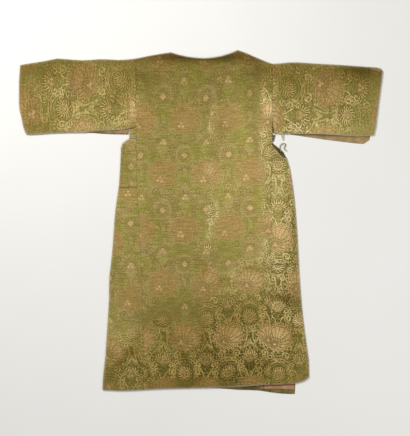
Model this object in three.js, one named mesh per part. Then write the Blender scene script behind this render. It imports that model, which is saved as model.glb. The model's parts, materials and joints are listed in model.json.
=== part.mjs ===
// A dalmatic laid flat on a table, face up: a T-shaped tunic of figured silk with a front and a back
// panel, two short wide sleeves, a gore in each side and a small gusset under the left arm.
// Millimetres. X runs along the sleeves, Y from the hem up to the neck, Z up from the table.
// The back layer lies on the table (Z 0). The front layer lies on it with a little air between.
// A sleeve and a gore are each one piece of cloth, folded over at their outer edge.
import * as THREE from "three";

// ---- Cloth and seams ----
const CLOTH = 1.5; // thickness of the silk with its lining
const SEAM = 0.3; // gap between two pieces where they are sewn together
const AIR = 2.0; // air between the layers beside a fold
const LINING = 1.0; // thickness of a piece of lining or tape on its own
const SHOULDER_SETTLE = 16; // the front layer sinks on to the back one over this width at a shoulder seam
const FOLD_REACH = 45; // creases fade out over this width beside a fold
const SHOULDER_FADE = 24; // and the settling fades out over this length at a shoulder seam's ends

const FOLD_OUTER = CLOTH + AIR / 2; // radius of a fold's outer face
const FOLD_INNER = AIR / 2; // radius of a fold's inner face

// ---- Overall shape, one row for each place along an edge ----
const LEFT_SLEEVE_TOP = [
  { x: -673.4, y: 577 },
  { x: -669, y: 580.5 },
  { x: -614, y: 590 },
  { x: -570, y: 597.5 },
  { x: -536, y: 605.5 },
  { x: -500, y: 603 },
  { x: -433, y: 598.5 },
  { x: -366, y: 603 },
  { x: -300, y: 599.5 },
  { x: -239, y: 605 },
];
const SHOULDERS_AND_NECK = [
  { x: -239, y: 605 },
  { x: -190, y: 615.5 },
  { x: -137, y: 624.5 },
  { x: -111, y: 628 },
  { x: -78, y: 618 },
  { x: -33, y: 609.5 },
  { x: 11, y: 606.5 },
  { x: 56, y: 610.5 },
  { x: 100, y: 621 },
  { x: 137, y: 636.4 },
  { x: 189, y: 615 },
  { x: 218, y: 603.5 },
  { x: 240, y: 593 },
  { x: 265, y: 585 },
];
const RIGHT_SLEEVE_TOP = [
  { x: 265, y: 585 },
  { x: 285, y: 586 },
  { x: 340, y: 591 },
  { x: 425, y: 586 },
  { x: 485, y: 583 },
  { x: 573, y: 577 },
  { x: 640, y: 572 },
  { x: 662, y: 569.5 },
  { x: 673.4, y: 560 },
];
const NECK_LEFT = -111;
const NECK_RIGHT = 137;
const BACK_NECK_DROP = 5; // the back neckline lies this much lower, behind the front one
const NECK_BEND = 35; // and comes down to that over this width
const CHEST = 600; // a height above the armholes, where the seams' sides are read
const BELOW_ARMS = { from: 390, to: 250 }; // the sides' folds start to count between these heights

const LEFT_CUFF = [
  { y: 590, x: -669 },
  { y: 570, x: -669.5 },
  { y: 525, x: -673.4 },
  { y: 425, x: -673.4 },
  { y: 400, x: -667.5 },
  { y: 355, x: -658.5 },
  { y: 340, x: -655 },
  { y: 328, x: -648 },
];
const LEFT_SLEEVE_FRONT_HEM = [
  { x: -652, y: 327 },
  { x: -640, y: 323 },
  { x: -600, y: 324.5 },
  { x: -560, y: 328 },
  { x: -500, y: 330 },
  { x: -411, y: 331 },
  { x: -396, y: 335.5 },
  { x: -352, y: 338 },
  { x: -307, y: 339.5 },
  { x: -285, y: 341 },
  { x: -266, y: 345.5 },
  { x: -240, y: 350.5 },
];
const LEFT_SLEEVE_BACK_HEM = [
  { x: -652, y: 328 },
  { x: -640, y: 324.5 },
  { x: -560, y: 329 },
  { x: -500, y: 331 },
  { x: -411, y: 330.5 },
  { x: -374, y: 327.5 },
  { x: -318, y: 325 },
  { x: -268.9, y: 324 },
  { x: -267, y: 346.8 },
  { x: -240, y: 346.8 },
];
const RIGHT_CUFF_FRONT = [
  { y: 580, x: 670 },
  { y: 566, x: 673.4 },
  { y: 555, x: 672.5 },
  { y: 440, x: 658 },
  { y: 355, x: 647.5 },
  { y: 329, x: 643.5 },
  { y: 322, x: 640 },
];
const RIGHT_CUFF_BACK = [
  { y: 580, x: 670 },
  { y: 566, x: 672 },
  { y: 440, x: 646 },
  { y: 318, x: 626 },
  { y: 304, x: 623 },
  { y: 295, x: 616 },
  { y: 290, x: 603 },
];
const RIGHT_SLEEVE_FRONT_HEM = [
  { x: 266, y: 327.5 },
  { x: 303, y: 325.5 },
  { x: 431, y: 325 },
  { x: 533, y: 319 },
  { x: 594, y: 316 },
  { x: 643, y: 321.5 },
];
const RIGHT_SLEEVE_BACK_HEM = [
  { x: 266, y: 331 },
  { x: 300, y: 328 },
  { x: 335, y: 323.5 },
  { x: 400, y: 314 },
  { x: 466, y: 304.5 },
  { x: 522, y: 297.5 },
  { x: 560, y: 293 },
  { x: 585, y: 290.3 },
  { x: 603, y: 290 },
  { x: 626, y: 297 },
];

// Seams between the panels and what is sewn to their sides.
const BODY_LEFT = [
  { y: 640, x: -239.4 },
  { y: 322, x: -239.4 },
  { y: 126, x: -235.7 },
  { y: -252, x: -217 },
  { y: -622, x: -212.5 },
];
const BODY_RIGHT = [
  { y: 640, x: 265 },
  { y: 372, x: 265 },
  { y: 250, x: 263.5 },
  { y: 60, x: 260 },
  { y: -640, x: 259 },
];
// The right sleeve's side of its front seam, which has come open at its lower end.
const RIGHT_SLEEVE_OPEN_SIDE = [
  { y: 640, x: 265.3 },
  { y: 378, x: 265.3 },
  { y: 329, x: 270 },
];

const FRONT_HEM = [
  { x: -376, y: -619 },
  { x: -363, y: -621.5 },
  { x: -300, y: -625 },
  { x: -255, y: -624 },
  { x: -213, y: -621.5 },
  { x: -133, y: -617.5 },
  { x: 15, y: -614.5 },
  { x: 144, y: -610 },
  { x: 226, y: -604 },
  { x: 329, y: -600.5 },
  { x: 352, y: -597 },
  { x: 377, y: -590 },
  { x: 390, y: -583 },
  { x: 397, y: -577 },
  { x: 400.5, y: -566 },
];
// The back hem shows below the front one on the right. Its right end is cut square.
const BACK_HEM = [
  { x: -376, y: -618 },
  { x: -363, y: -620 },
  { x: -300, y: -623.5 },
  { x: -213, y: -620 },
  { x: -133, y: -616 },
  { x: 15, y: -613.5 },
  { x: 56, y: -616 },
  { x: 100, y: -617.5 },
  { x: 130, y: -621 },
  { x: 190, y: -622 },
  { x: 225, y: -624.5 },
  { x: 263, y: -631 },
  { x: 304, y: -635.5 },
  { x: 330, y: -636.4 },
  { x: 347.2, y: -636.4 },
  { x: 349, y: -595 },
  { x: 392, y: -578 },
  { x: 400.5, y: -566 },
];

// Outer folds of the gores.
const LEFT_FOLD = [
  { y: 256, x: -296.8 },
  { y: 170, x: -301.3 },
  { y: 133, x: -304 },
  { y: 104, x: -308 },
  { y: 74, x: -313 },
  { y: 15, x: -319.7 },
  { y: -44, x: -323.5 },
  { y: -104, x: -328 },
  { y: -155, x: -333 },
  { y: -200, x: -339.5 },
  { y: -300, x: -340.5 },
  { y: -340, x: -343.5 },
  { y: -458, x: -351 },
  { y: -518, x: -355.5 },
  { y: -560, x: -361.5 },
  { y: -618, x: -364.5 },
];
const RIGHT_FOLD = [
  { y: 237, x: 318.5 },
  { y: 222, x: 323.5 },
  { y: 192, x: 330.5 },
  { y: 163, x: 335.3 },
  { y: 74, x: 346.8 },
  { y: -15, x: 354.3 },
  { y: -74, x: 358.2 },
  { y: -148, x: 361.8 },
  { y: -222, x: 366.2 },
  { y: -311, x: 373.2 },
  { y: -400, x: 383.5 },
  { y: -459, x: 391.6 },
  { y: -518, x: 399.3 },
  { y: -564, x: 400.5 },
];
// Upper edges of the gores, cut slanting down from the armhole to the fold.
const LEFT_GORE_TOP = [
  { x: -297, y: 262 },
  { x: -295, y: 273 },
  { x: -291.6, y: 288.6 },
  { x: -281, y: 298 },
  { x: -265, y: 308.5 },
  { x: -239, y: 307.5 },
];
const RIGHT_GORE_FRONT_TOP = [
  { x: 263, y: 283 },
  { x: 277.5, y: 266.5 },
  { x: 292, y: 250 },
  { x: 302, y: 238.5 },
  { x: 312, y: 237 },
  { x: 320, y: 236.5 },
];
const RIGHT_GORE_BACK_TOP = [
  { x: 263, y: 294 },
  { x: 292, y: 270 },
  { x: 307, y: 257 },
  { x: 315, y: 240 },
  { x: 320, y: 236.5 },
];
const LEFT_GORE_JOIN = 127.3; // the left gore is pieced across here
const RIGHT_GORE_JOIN = -157.3; // and the right gore here

// The small gusset between the left sleeve and the left gore.
const GUSSET_FOLD = -265.7;
const GUSSET_FRONT_TOP = [
  { x: -266, y: 343 },
  { x: -240, y: 350 },
];
const GUSSET_BACK_TOP = 346.5;
const GUSSET_HEM = [
  { x: -266, y: 308.9 },
  { x: -258, y: 310 },
  { x: -240, y: 310.5 },
];

// ---- Creases of the front layer: a rise above zero is a ridge, below zero a trough ----
const CENTRE_CREASE = 17;
const CREASE_HALF = 13;
const CREASES = [
  { of: "centre", fromX: CENTRE_CREASE, fromY: 500, toX: 18, toY: -640, halfWidth: CREASE_HALF, rise: 1.2 },
  { of: "right front", fromX: 218, fromY: 450, toX: 232, toY: -560, halfWidth: 26, rise: 0.9 },
  { of: "right front dip", fromX: 112, fromY: 490, toX: 128, toY: -470, halfWidth: 34, rise: -0.7 },
  { of: "left front dip", fromX: -118, fromY: 430, toX: -102, toY: -570, halfWidth: 38, rise: -0.8 },
  { of: "left front", fromX: -186, fromY: 300, toX: -168, toY: -620, halfWidth: 28, rise: 0.8 },
  { of: "right underarm", fromX: 175, fromY: 246, toX: 268, toY: 240, halfWidth: 13, rise: 0.9 },
  { of: "left sleeve dip", fromX: -480, fromY: 620, toX: -470, toY: 340, halfWidth: 15, rise: -0.9 },
  { of: "left sleeve", fromX: -335, fromY: 620, toX: -345, toY: 300, halfWidth: 20, rise: 0.9 },
  { of: "right sleeve", fromX: 380, fromY: 610, toX: 372, toY: 290, halfWidth: 16, rise: 1.0 },
  { of: "right cuff", fromX: 522, fromY: 600, toX: 512, toY: 290, halfWidth: 16, rise: 0.9 },
  { of: "right gore", fromX: 292, fromY: 160, toX: 318, toY: -560, halfWidth: 17, rise: 0.7 },
];
const CREASE_END_SHARE = 0.18; // share of a crease's length over which it rises and falls away

// ---- Pieces at the right underarm and hem ----
// Lining inside the back hem, where it shows below the front one.
const HEM_LINING = { left: 222, right: 346, top: -562, leftHem: -617, rightHem: -621 };
// A scrap of lining that stands out of the open right armhole.
const ARMHOLE_LINING = { left: 252, right: 277, top: 322, hem: 298, lowRight: 270, restsFrom: 272 };
// The end of a tape that hangs out of the right sleeve.
const TAPE_END = { top: 346, tip: 302, topLeft: 289, topRight: 307, tipLeft: 302, tipRight: 309 };
const TAPE_DROP = { from: 325, to: 316 }; // heights between which it comes down on to the table
// A narrow tape that is sewn to the right gore's back edge, loops over and lies on the table.
const LOOP_WIDTH = 4;
const LOOP_SIDES = 8;
const LOOP_STEPS = 30;
const LOOP_ROUTE = [
  { x: 296.5, y: 261.5, z: 3.9 },
  { x: 295.5, y: 266.5, z: 3.9 },
  { x: 292.5, y: 273, z: 2.6 },
  { x: 293.5, y: 281, z: 2.1 },
  { x: 299.5, y: 288.5, z: 2.1 },
  { x: 307.5, y: 291, z: 2.1 },
  { x: 313.5, y: 287.5, z: 2.1 },
  { x: 311.5, y: 281, z: 2.1 },
  { x: 308.2, y: 274.5, z: 2.1 },
  { x: 310.5, y: 268.5, z: 2.1 },
  { x: 317, y: 263, z: 2.1 },
];

// ---- Small helpers ----
const lerp = (from, to, share) => from + (to - from) * share;
const clamp = (value, low, high) => Math.min(Math.max(value, low), high);

/** 0 up to `start`, 1 from `end` on, smooth between. */
function ease(value, start, end) {
  const share = clamp((value - start) / (end - start), 0, 1);
  return share * share * (3 - 2 * share);
}

/** `count` + 1 even shares from 0 to 1. */
const evenShares = (count) => Array.from({ length: count + 1 }, (_, step) => step / count);

const MARK_ROOM = 0.45; // an even row nearer to a marked one than this share of a step is left out

/** Even shares that make room for the marked ones, which must be rows or columns of the grid. */
function sharesWithMarks(count, marks) {
  const room = MARK_ROOM / count;
  const kept = evenShares(count).filter(
    (share) => share === 0 || share === 1 || marks.every((mark) => Math.abs(mark - share) > room),
  );
  return [...kept, ...marks].sort((a, b) => a - b);
}

/** A smooth curve through a table's rows that never overshoots them, as a function of column `by`. */
function curveThrough(rows, by) {
  const of = by === "x" ? "y" : "x";
  const sorted = [...rows].sort((a, b) => a[by] - b[by]);
  const rise = sorted.slice(1).map((row, i) => (row[of] - sorted[i][of]) / (row[by] - sorted[i][by]));
  const tangent = sorted.map((_, i) => {
    const before = rise[Math.max(i - 1, 0)];
    const after = rise[Math.min(i, rise.length - 1)];
    return before * after <= 0 ? 0 : (2 * before * after) / (before + after);
  });
  return (at) => {
    const place = clamp(at, sorted[0][by], sorted[sorted.length - 1][by]);
    const i = Math.max(sorted.findIndex((row) => row[by] >= place) - 1, 0);
    const span = sorted[i + 1][by] - sorted[i][by];
    const t = (place - sorted[i][by]) / span;
    const start = sorted[i][of];
    const end = sorted[i + 1][of];
    const bend = (tangent[i] * (1 - t) - tangent[i + 1] * t) * span;
    return lerp(start, end, t * t * (3 - 2 * t)) + bend * t * (1 - t);
  };
}

const leftSleeveTop = curveThrough(LEFT_SLEEVE_TOP, "x");
const shoulderLine = curveThrough(SHOULDERS_AND_NECK, "x");
const rightSleeveTop = curveThrough(RIGHT_SLEEVE_TOP, "x");
const bodyLeft = curveThrough(BODY_LEFT, "y");
const bodyRight = curveThrough(BODY_RIGHT, "y");
const leftFold = curveThrough(LEFT_FOLD, "y");
const rightFold = curveThrough(RIGHT_FOLD, "y");
const frontHem = curveThrough(FRONT_HEM, "x");
const backHem = curveThrough(BACK_HEM, "x");

const CHEST_LEFT = bodyLeft(CHEST);
const CHEST_RIGHT = bodyRight(CHEST);

/** Height of the garment's upper edge at x. */
function upperEdge(x) {
  if (x < CHEST_LEFT) return leftSleeveTop(x);
  return x > CHEST_RIGHT ? rightSleeveTop(x) : shoulderLine(x);
}

/** 1 between two ends, fading to 0 over `fade` inside them. */
function between(value, low, high, fade) {
  return ease(value, low, low + fade) * ease(-value, -high, fade - high);
}

/** Rise of one crease at a place: round across, fading at both ends. */
function creaseRise(crease, x, y) {
  const runX = crease.toX - crease.fromX;
  const runY = crease.toY - crease.fromY;
  const length = Math.hypot(runX, runY);
  const along = ((x - crease.fromX) * runX + (y - crease.fromY) * runY) / length ** 2;
  const across = ((x - crease.fromX) * runY - (y - crease.fromY) * runX) / length;
  const ends = ease(along, 0, CREASE_END_SHARE) * ease(1 - along, 0, CREASE_END_SHARE);
  return crease.rise * ends * Math.exp(-((across / crease.halfWidth) ** 2));
}

/** Air between the back layer and the front layer at a place. */
function airAt(x, y) {
  const fromTop = upperEdge(x) - y;
  const sideFolds = ease(x - leftFold(y), 0, FOLD_REACH) * ease(rightFold(y) - x, 0, FOLD_REACH);
  const belowArms = ease(-y, -BELOW_ARMS.from, -BELOW_ARMS.to);
  const free = ease(fromTop, 0, FOLD_REACH) * lerp(1, sideFolds, belowArms);
  const creases = CREASES.reduce((sum, crease) => sum + creaseRise(crease, x, y), 0);
  const besideNeck = Math.max(
    ease(-x, -NECK_LEFT - SHOULDER_FADE, -NECK_LEFT),
    ease(x, NECK_RIGHT - SHOULDER_FADE, NECK_RIGHT),
  );
  const onShoulder = between(x, CHEST_LEFT, CHEST_RIGHT, SHOULDER_FADE) * besideNeck;
  const settled = lerp(SEAM, AIR, ease(fromTop, 0, SHOULDER_SETTLE));
  return lerp(AIR, settled, onShoulder) + creases * free;
}

// Each edge's x depends on y and the other way round, so a place between edges is found in passes.
const PASSES = 12;
const PASS_STEP = 0.8; // share of the way that y moves in a pass

/** A place between curved edges, from its x as a function of y and its y as a function of x. */
function settle(start, xAt, yAt) {
  let { x, y } = start;
  for (let pass = 0; pass < PASSES; pass++) {
    x = xAt(y);
    y = lerp(y, yAt(x), PASS_STEP);
  }
  return { x, y };
}

/** A place on a flat piece: `across` 0 to 1 from its left to its right edge, `down` from top to hem. */
function placeOn(edges, across, down) {
  return settle(
    { x: 0, y: 0 },
    (y) => lerp(edges.left(y), edges.right(y), across),
    (x) => lerp(edges.top(x), edges.hem(x), down),
  );
}

/** The closed wall between two grids of points, `upper` and `lower`, as rows of equal length. */
function wall(upper, lower) {
  const rows = upper.length;
  const columns = upper[0].length;
  const points = [...upper.flat(), ...lower.flat()];
  const at = (face, row, column) => face * rows * columns + row * columns + column;
  const index = [];
  const quad = (a, b, c, d) => index.push(a, b, c, a, c, d);
  for (let r = 0; r + 1 < rows; r++) {
    for (let c = 0; c + 1 < columns; c++) {
      quad(at(0, r, c), at(0, r + 1, c), at(0, r + 1, c + 1), at(0, r, c + 1));
      quad(at(1, r, c), at(1, r, c + 1), at(1, r + 1, c + 1), at(1, r + 1, c));
    }
  }
  for (let r = 0; r + 1 < rows; r++) {
    quad(at(0, r, 0), at(1, r, 0), at(1, r + 1, 0), at(0, r + 1, 0));
    quad(at(0, r, columns - 1), at(0, r + 1, columns - 1), at(1, r + 1, columns - 1), at(1, r, columns - 1));
  }
  for (let c = 0; c + 1 < columns; c++) {
    quad(at(0, 0, c), at(0, 0, c + 1), at(1, 0, c + 1), at(1, 0, c));
    quad(at(0, rows - 1, c), at(1, rows - 1, c), at(1, rows - 1, c + 1), at(0, rows - 1, c + 1));
  }
  return closed(points, index);
}

/** A geometry from points and triangles, turned to face outwards. */
function closed(points, index) {
  const corner = points.map((p) => new THREE.Vector3(p.x, p.y, p.z));
  let volume = 0;
  for (let i = 0; i < index.length; i += 3) {
    const [a, b, c] = [corner[index[i]], corner[index[i + 1]], corner[index[i + 2]]];
    volume += a.dot(b.clone().cross(c)) / 6;
  }
  const facing = volume > 0 ? index : [...index].reverse();
  return new THREE.BufferGeometry().setFromPoints(corner).setIndex(facing);
}

/** A flat piece of one layer, with its underside at the height that `under(x, y)` gives. */
function flatPiece(edges, acrossShares, downShares, under, thickness) {
  const grid = downShares.map((down) => acrossShares.map((across) => placeOn(edges, across, down)));
  const at = (lift) => grid.map((row) => row.map(({ x, y }) => ({ x, y, z: under(x, y) + lift })));
  return wall(at(thickness), at(0));
}

const FOLD_ANGLES = [-60, -30, 0, 30, 60].map((degrees) => THREE.MathUtils.degToRad(degrees));

/**
 * A piece folded over at one edge. Each ring runs from the back layer's free edge to the fold, round
 * it and over the front layer to its free edge. `place(layer, along, share)` gives a place of a layer,
 * share 0 beside the fold and 1 at the free edge. `outward` points out of the fold.
 */
function foldedPiece(alongShares, backShares, frontShares, place, outward) {
  const outer = [];
  const inner = [];
  for (const along of alongShares) {
    const outerRing = [];
    const innerRing = [];
    for (const share of backShares) {
      const { x, y } = place("back", along, share);
      outerRing.push({ x, y, z: 0 });
      innerRing.push({ x, y, z: CLOTH });
    }
    const start = place("front", along, 0);
    for (const angle of FOLD_ANGLES) {
      const round = (radius) => ({
        x: start.x + outward.x * radius * Math.cos(angle),
        y: start.y + outward.y * radius * Math.cos(angle),
        z: FOLD_OUTER + radius * Math.sin(angle),
      });
      outerRing.push(round(FOLD_OUTER));
      innerRing.push(round(FOLD_INNER));
    }
    for (const share of frontShares) {
      const { x, y } = place("front", along, share);
      const under = CLOTH + airAt(x, y);
      outerRing.push({ x, y, z: under + CLOTH });
      innerRing.push({ x, y, z: under });
    }
    outer.push(outerRing);
    inner.push(innerRing);
  }
  return wall(outer, inner);
}

const SLEEVE_MIDDLE = 450; // height halfway down a sleeve

/** Places of a sleeve: folded along its top, its stations running from the body out to the cuff. */
function sleevePlace(top, hem, side, cuff) {
  return (layer, along, share) =>
    settle(
      { x: 0, y: SLEEVE_MIDDLE },
      (y) => lerp(side[layer](y), cuff[layer](y), along),
      (x) => lerp(top(x) - FOLD_OUTER, hem[layer](x), share),
    );
}

/** Places of a gore or gusset: folded along its outer edge, its stations running from top to hem. */
function gorePlace(top, hem, side, fold, outwardX) {
  return (layer, along, share) =>
    settle(
      { x: side(0), y: lerp(top[layer](side(0)), hem[layer](side(0)), along) },
      (y) => lerp(fold(y) - outwardX * FOLD_OUTER, side(y), share),
      (x) => lerp(top[layer](x), hem[layer](x), along),
    );
}

const bothLayers = (edge) => ({ front: edge, back: edge });

function sleeveLeft() {
  const hem = {
    front: curveThrough(LEFT_SLEEVE_FRONT_HEM, "x"),
    back: curveThrough(LEFT_SLEEVE_BACK_HEM, "x"),
  };
  const side = bothLayers((y) => bodyLeft(y) - SEAM);
  const cuff = bothLayers(curveThrough(LEFT_CUFF, "y"));
  const place = sleevePlace(leftSleeveTop, hem, side, cuff);
  const stations = sharesWithMarks(13, [0.0648, 0.0722, 0.32, 0.68, 0.97]);
  return foldedPiece(stations, [1, 0.7, 0.35, 0], evenShares(9), place, { x: 0, y: 1 });
}

function sleeveRight() {
  const hem = {
    front: curveThrough(RIGHT_SLEEVE_FRONT_HEM, "x"),
    back: curveThrough(RIGHT_SLEEVE_BACK_HEM, "x"),
  };
  const cuff = {
    front: curveThrough(RIGHT_CUFF_FRONT, "y"),
    back: curveThrough(RIGHT_CUFF_BACK, "y"),
  };
  const side = {
    front: curveThrough(RIGHT_SLEEVE_OPEN_SIDE, "y"),
    back: () => CHEST_RIGHT + SEAM,
  };
  const place = sleevePlace(rightSleeveTop, hem, side, cuff);
  const stations = sharesWithMarks(13, [0.28, 0.63, 0.955, 0.98]);
  return foldedPiece(stations, [1, 0.97, 0.93, 0.7, 0.35, 0], evenShares(9), place, { x: 0, y: 1 });
}

function goreLeftUpper() {
  const top = bothLayers(curveThrough(LEFT_GORE_TOP, "x"));
  const hem = bothLayers(() => LEFT_GORE_JOIN + SEAM / 2);
  const place = gorePlace(top, hem, (y) => bodyLeft(y) - SEAM, leftFold, -1);
  const shares = [0, 0.05, 0.15, 0.3, 0.55, 1];
  return foldedPiece(evenShares(6), [...shares].reverse(), shares, place, { x: -1, y: 0 });
}

function goreLeftLower() {
  const top = bothLayers(() => LEFT_GORE_JOIN - SEAM / 2);
  const hem = { front: frontHem, back: backHem };
  const place = gorePlace(top, hem, (y) => bodyLeft(y) - SEAM, leftFold, -1);
  return foldedPiece(evenShares(18), [1, 0.66, 0.33, 0], evenShares(5), place, { x: -1, y: 0 });
}

function goreRightUpper() {
  const top = {
    front: curveThrough(RIGHT_GORE_FRONT_TOP, "x"),
    back: curveThrough(RIGHT_GORE_BACK_TOP, "x"),
  };
  const hem = bothLayers(() => RIGHT_GORE_JOIN + SEAM / 2);
  const place = gorePlace(top, hem, (y) => bodyRight(y) + SEAM, rightFold, 1);
  const shares = [0, 0.08, 0.22, 0.42, 0.7, 1];
  return foldedPiece(evenShares(10), [...shares].reverse(), shares, place, { x: 1, y: 0 });
}

function goreRightLower() {
  const top = bothLayers(() => RIGHT_GORE_JOIN - SEAM / 2);
  const hem = { front: frontHem, back: backHem };
  const place = gorePlace(top, hem, (y) => bodyRight(y) + SEAM, rightFold, 1);
  const squareEnd = [0.367, 0.352]; // either side of the back hem's square right end
  const backShares = [1, 0.75, 0.5, ...squareEnd, 0.16, 0.05, 0];
  const frontShares = [0, 0.05, 0.16, 0.33, 0.5, 0.75, 1];
  return foldedPiece(evenShares(12), backShares, frontShares, place, { x: 1, y: 0 });
}

function gussetLeft() {
  const top = { front: curveThrough(GUSSET_FRONT_TOP, "x"), back: () => GUSSET_BACK_TOP };
  const hem = bothLayers(curveThrough(GUSSET_HEM, "x"));
  const place = gorePlace(top, hem, (y) => bodyLeft(y) - SEAM, () => GUSSET_FOLD, -1);
  return foldedPiece(evenShares(3), [1, 0.5, 0], [0, 0.33, 0.66, 1], place, { x: -1, y: 0 });
}

/** How far across the front or back panel an x lies, 0 at its left edge and 1 at its right. */
const shareOfWidth = (x) => (x - CHEST_LEFT) / (CHEST_RIGHT - CHEST_LEFT);

function frontPanel() {
  const edges = { left: bodyLeft, right: bodyRight, top: shoulderLine, hem: frontHem };
  const creaseMarks = [-CREASE_HALF, 0, CREASE_HALF].map((side) => CENTRE_CREASE + side);
  const marks = [NECK_LEFT, ...creaseMarks, NECK_RIGHT].map(shareOfWidth);
  const under = (x, y) => CLOTH + airAt(x, y);
  const rows = sharesWithMarks(28, [0.004, 0.014]);
  return flatPiece(edges, sharesWithMarks(16, marks), rows, under, CLOTH);
}

function backPanel() {
  const drop = (x) => BACK_NECK_DROP * between(x, NECK_LEFT, NECK_RIGHT, NECK_BEND);
  const top = (x) => shoulderLine(x) - drop(x);
  const edges = { left: bodyLeft, right: bodyRight, top, hem: backHem };
  const across = sharesWithMarks(11, [NECK_LEFT, NECK_RIGHT].map(shareOfWidth));
  return flatPiece(edges, across, evenShares(18), () => 0, CLOTH);
}

function hemLining() {
  const { left, right, top, leftHem, rightHem } = HEM_LINING;
  const hem = (x) => lerp(leftHem, rightHem, (x - left) / (right - left));
  const edges = { left: () => left, right: () => right, top: () => top, hem };
  return flatPiece(edges, evenShares(4), evenShares(2), () => CLOTH + SEAM, LINING);
}

function armholeLining() {
  const { left, right, top, hem, lowRight, restsFrom } = ARMHOLE_LINING;
  const edges = {
    left: () => left,
    right: (y) => lerp(lowRight, right, clamp((y - hem) / (top - hem), 0, 1)),
    top: () => top,
    hem: () => hem,
  };
  const leavesPanel = bodyRight(hem) + 2 * SEAM;
  const under = (x) => lerp(CLOTH + SEAM, 0, ease(x, leavesPanel, restsFrom));
  return flatPiece(edges, evenShares(6), evenShares(4), under, LINING);
}

function tapeEnd() {
  const { top, tip, topLeft, topRight, tipLeft, tipRight } = TAPE_END;
  const fall = (y) => clamp((top - y) / (top - tip), 0, 1);
  const edges = {
    left: (y) => lerp(topLeft, tipLeft, fall(y)),
    right: (y) => lerp(topRight, tipRight, fall(y)),
    top: () => top,
    hem: () => tip,
  };
  const under = (x, y) => lerp(CLOTH + SEAM, 0, ease(-y, -TAPE_DROP.from, -TAPE_DROP.to));
  return flatPiece(edges, evenShares(2), evenShares(9), under, LINING);
}

function loopTape() {
  const route = new THREE.CatmullRomCurve3(LOOP_ROUTE.map(({ x, y, z }) => new THREE.Vector3(x, y, z)));
  const corner = (turn) => new THREE.Vector2(
    (LOOP_WIDTH / 2) * Math.cos(2 * Math.PI * turn),
    (LOOP_WIDTH / 2) * Math.sin(2 * Math.PI * turn),
  );
  const section = evenShares(LOOP_SIDES).slice(1).map(corner);
  return new THREE.ExtrudeGeometry(new THREE.Shape(section), { extrudePath: route, steps: LOOP_STEPS });
}

// ---- Materials ----
const silk = (color) => new THREE.MeshStandardMaterial({ color, roughness: 0.7, metalness: 0 });
const PANEL_SILK = silk(0x93824a);
const GORE_SILK = silk(0x9c8a50);
const LINING_SILK = silk(0xb58a68);
const TAPE_LINEN = silk(0xb8ae96);
const BINDING_SILK = silk(0x8a8a5e);

/** The finished pieces by name. */
const PIECES = [
  { name: "front_panel", geometry: frontPanel(), material: PANEL_SILK },
  { name: "back_panel", geometry: backPanel(), material: PANEL_SILK },
  { name: "sleeve_left", geometry: sleeveLeft(), material: PANEL_SILK },
  { name: "sleeve_right", geometry: sleeveRight(), material: PANEL_SILK },
  { name: "gore_left_upper", geometry: goreLeftUpper(), material: GORE_SILK },
  { name: "gore_left_lower", geometry: goreLeftLower(), material: GORE_SILK },
  { name: "gore_right_upper", geometry: goreRightUpper(), material: GORE_SILK },
  { name: "gore_right_lower", geometry: goreRightLower(), material: GORE_SILK },
  { name: "gusset_left", geometry: gussetLeft(), material: GORE_SILK },
  { name: "hem_lining", geometry: hemLining(), material: LINING_SILK },
  { name: "armhole_lining", geometry: armholeLining(), material: LINING_SILK },
  { name: "tape_end", geometry: tapeEnd(), material: TAPE_LINEN },
  { name: "loop_tape", geometry: loopTape(), material: BINDING_SILK },
];

const dalmatic = new THREE.Group();
for (const { name, geometry, material } of PIECES) {
  const mesh = new THREE.Mesh(geometry, material);
  mesh.name = name;
  dalmatic.add(mesh);
}

export default dalmatic;
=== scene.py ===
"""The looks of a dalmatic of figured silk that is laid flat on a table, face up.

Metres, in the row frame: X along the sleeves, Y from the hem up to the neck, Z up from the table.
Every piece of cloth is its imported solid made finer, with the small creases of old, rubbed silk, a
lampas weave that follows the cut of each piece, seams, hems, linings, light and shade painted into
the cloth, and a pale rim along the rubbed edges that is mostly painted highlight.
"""

from __future__ import annotations

import json
import logging
import math
from dataclasses import dataclass, field
from enum import Enum
from typing import Any, Sequence

import bmesh
import bpy
import numpy as np
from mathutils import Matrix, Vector, noise
from mathutils.bvhtree import BVHTree
from mathutils.kdtree import KDTree

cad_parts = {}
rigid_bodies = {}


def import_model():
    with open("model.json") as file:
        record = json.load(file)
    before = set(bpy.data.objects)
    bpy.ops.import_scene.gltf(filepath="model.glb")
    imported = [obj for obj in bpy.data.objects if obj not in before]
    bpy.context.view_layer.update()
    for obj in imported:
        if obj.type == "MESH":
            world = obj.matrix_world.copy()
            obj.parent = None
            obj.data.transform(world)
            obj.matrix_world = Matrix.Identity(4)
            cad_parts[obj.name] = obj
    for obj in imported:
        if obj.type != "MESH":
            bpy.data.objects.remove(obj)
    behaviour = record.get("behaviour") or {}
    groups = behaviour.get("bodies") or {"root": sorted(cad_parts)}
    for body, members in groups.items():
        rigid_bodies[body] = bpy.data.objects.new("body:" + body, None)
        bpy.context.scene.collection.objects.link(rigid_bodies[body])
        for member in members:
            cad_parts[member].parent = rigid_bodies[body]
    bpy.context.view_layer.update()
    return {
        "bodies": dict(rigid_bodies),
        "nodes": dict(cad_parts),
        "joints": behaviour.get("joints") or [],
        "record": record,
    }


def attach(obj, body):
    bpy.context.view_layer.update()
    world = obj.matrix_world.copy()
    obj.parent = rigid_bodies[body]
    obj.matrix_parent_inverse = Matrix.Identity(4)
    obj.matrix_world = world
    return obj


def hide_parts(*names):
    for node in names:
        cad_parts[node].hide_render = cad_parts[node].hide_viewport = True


LOG = logging.getLogger("dalmatic")

MM = 0.001
BODY = "root"

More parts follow.
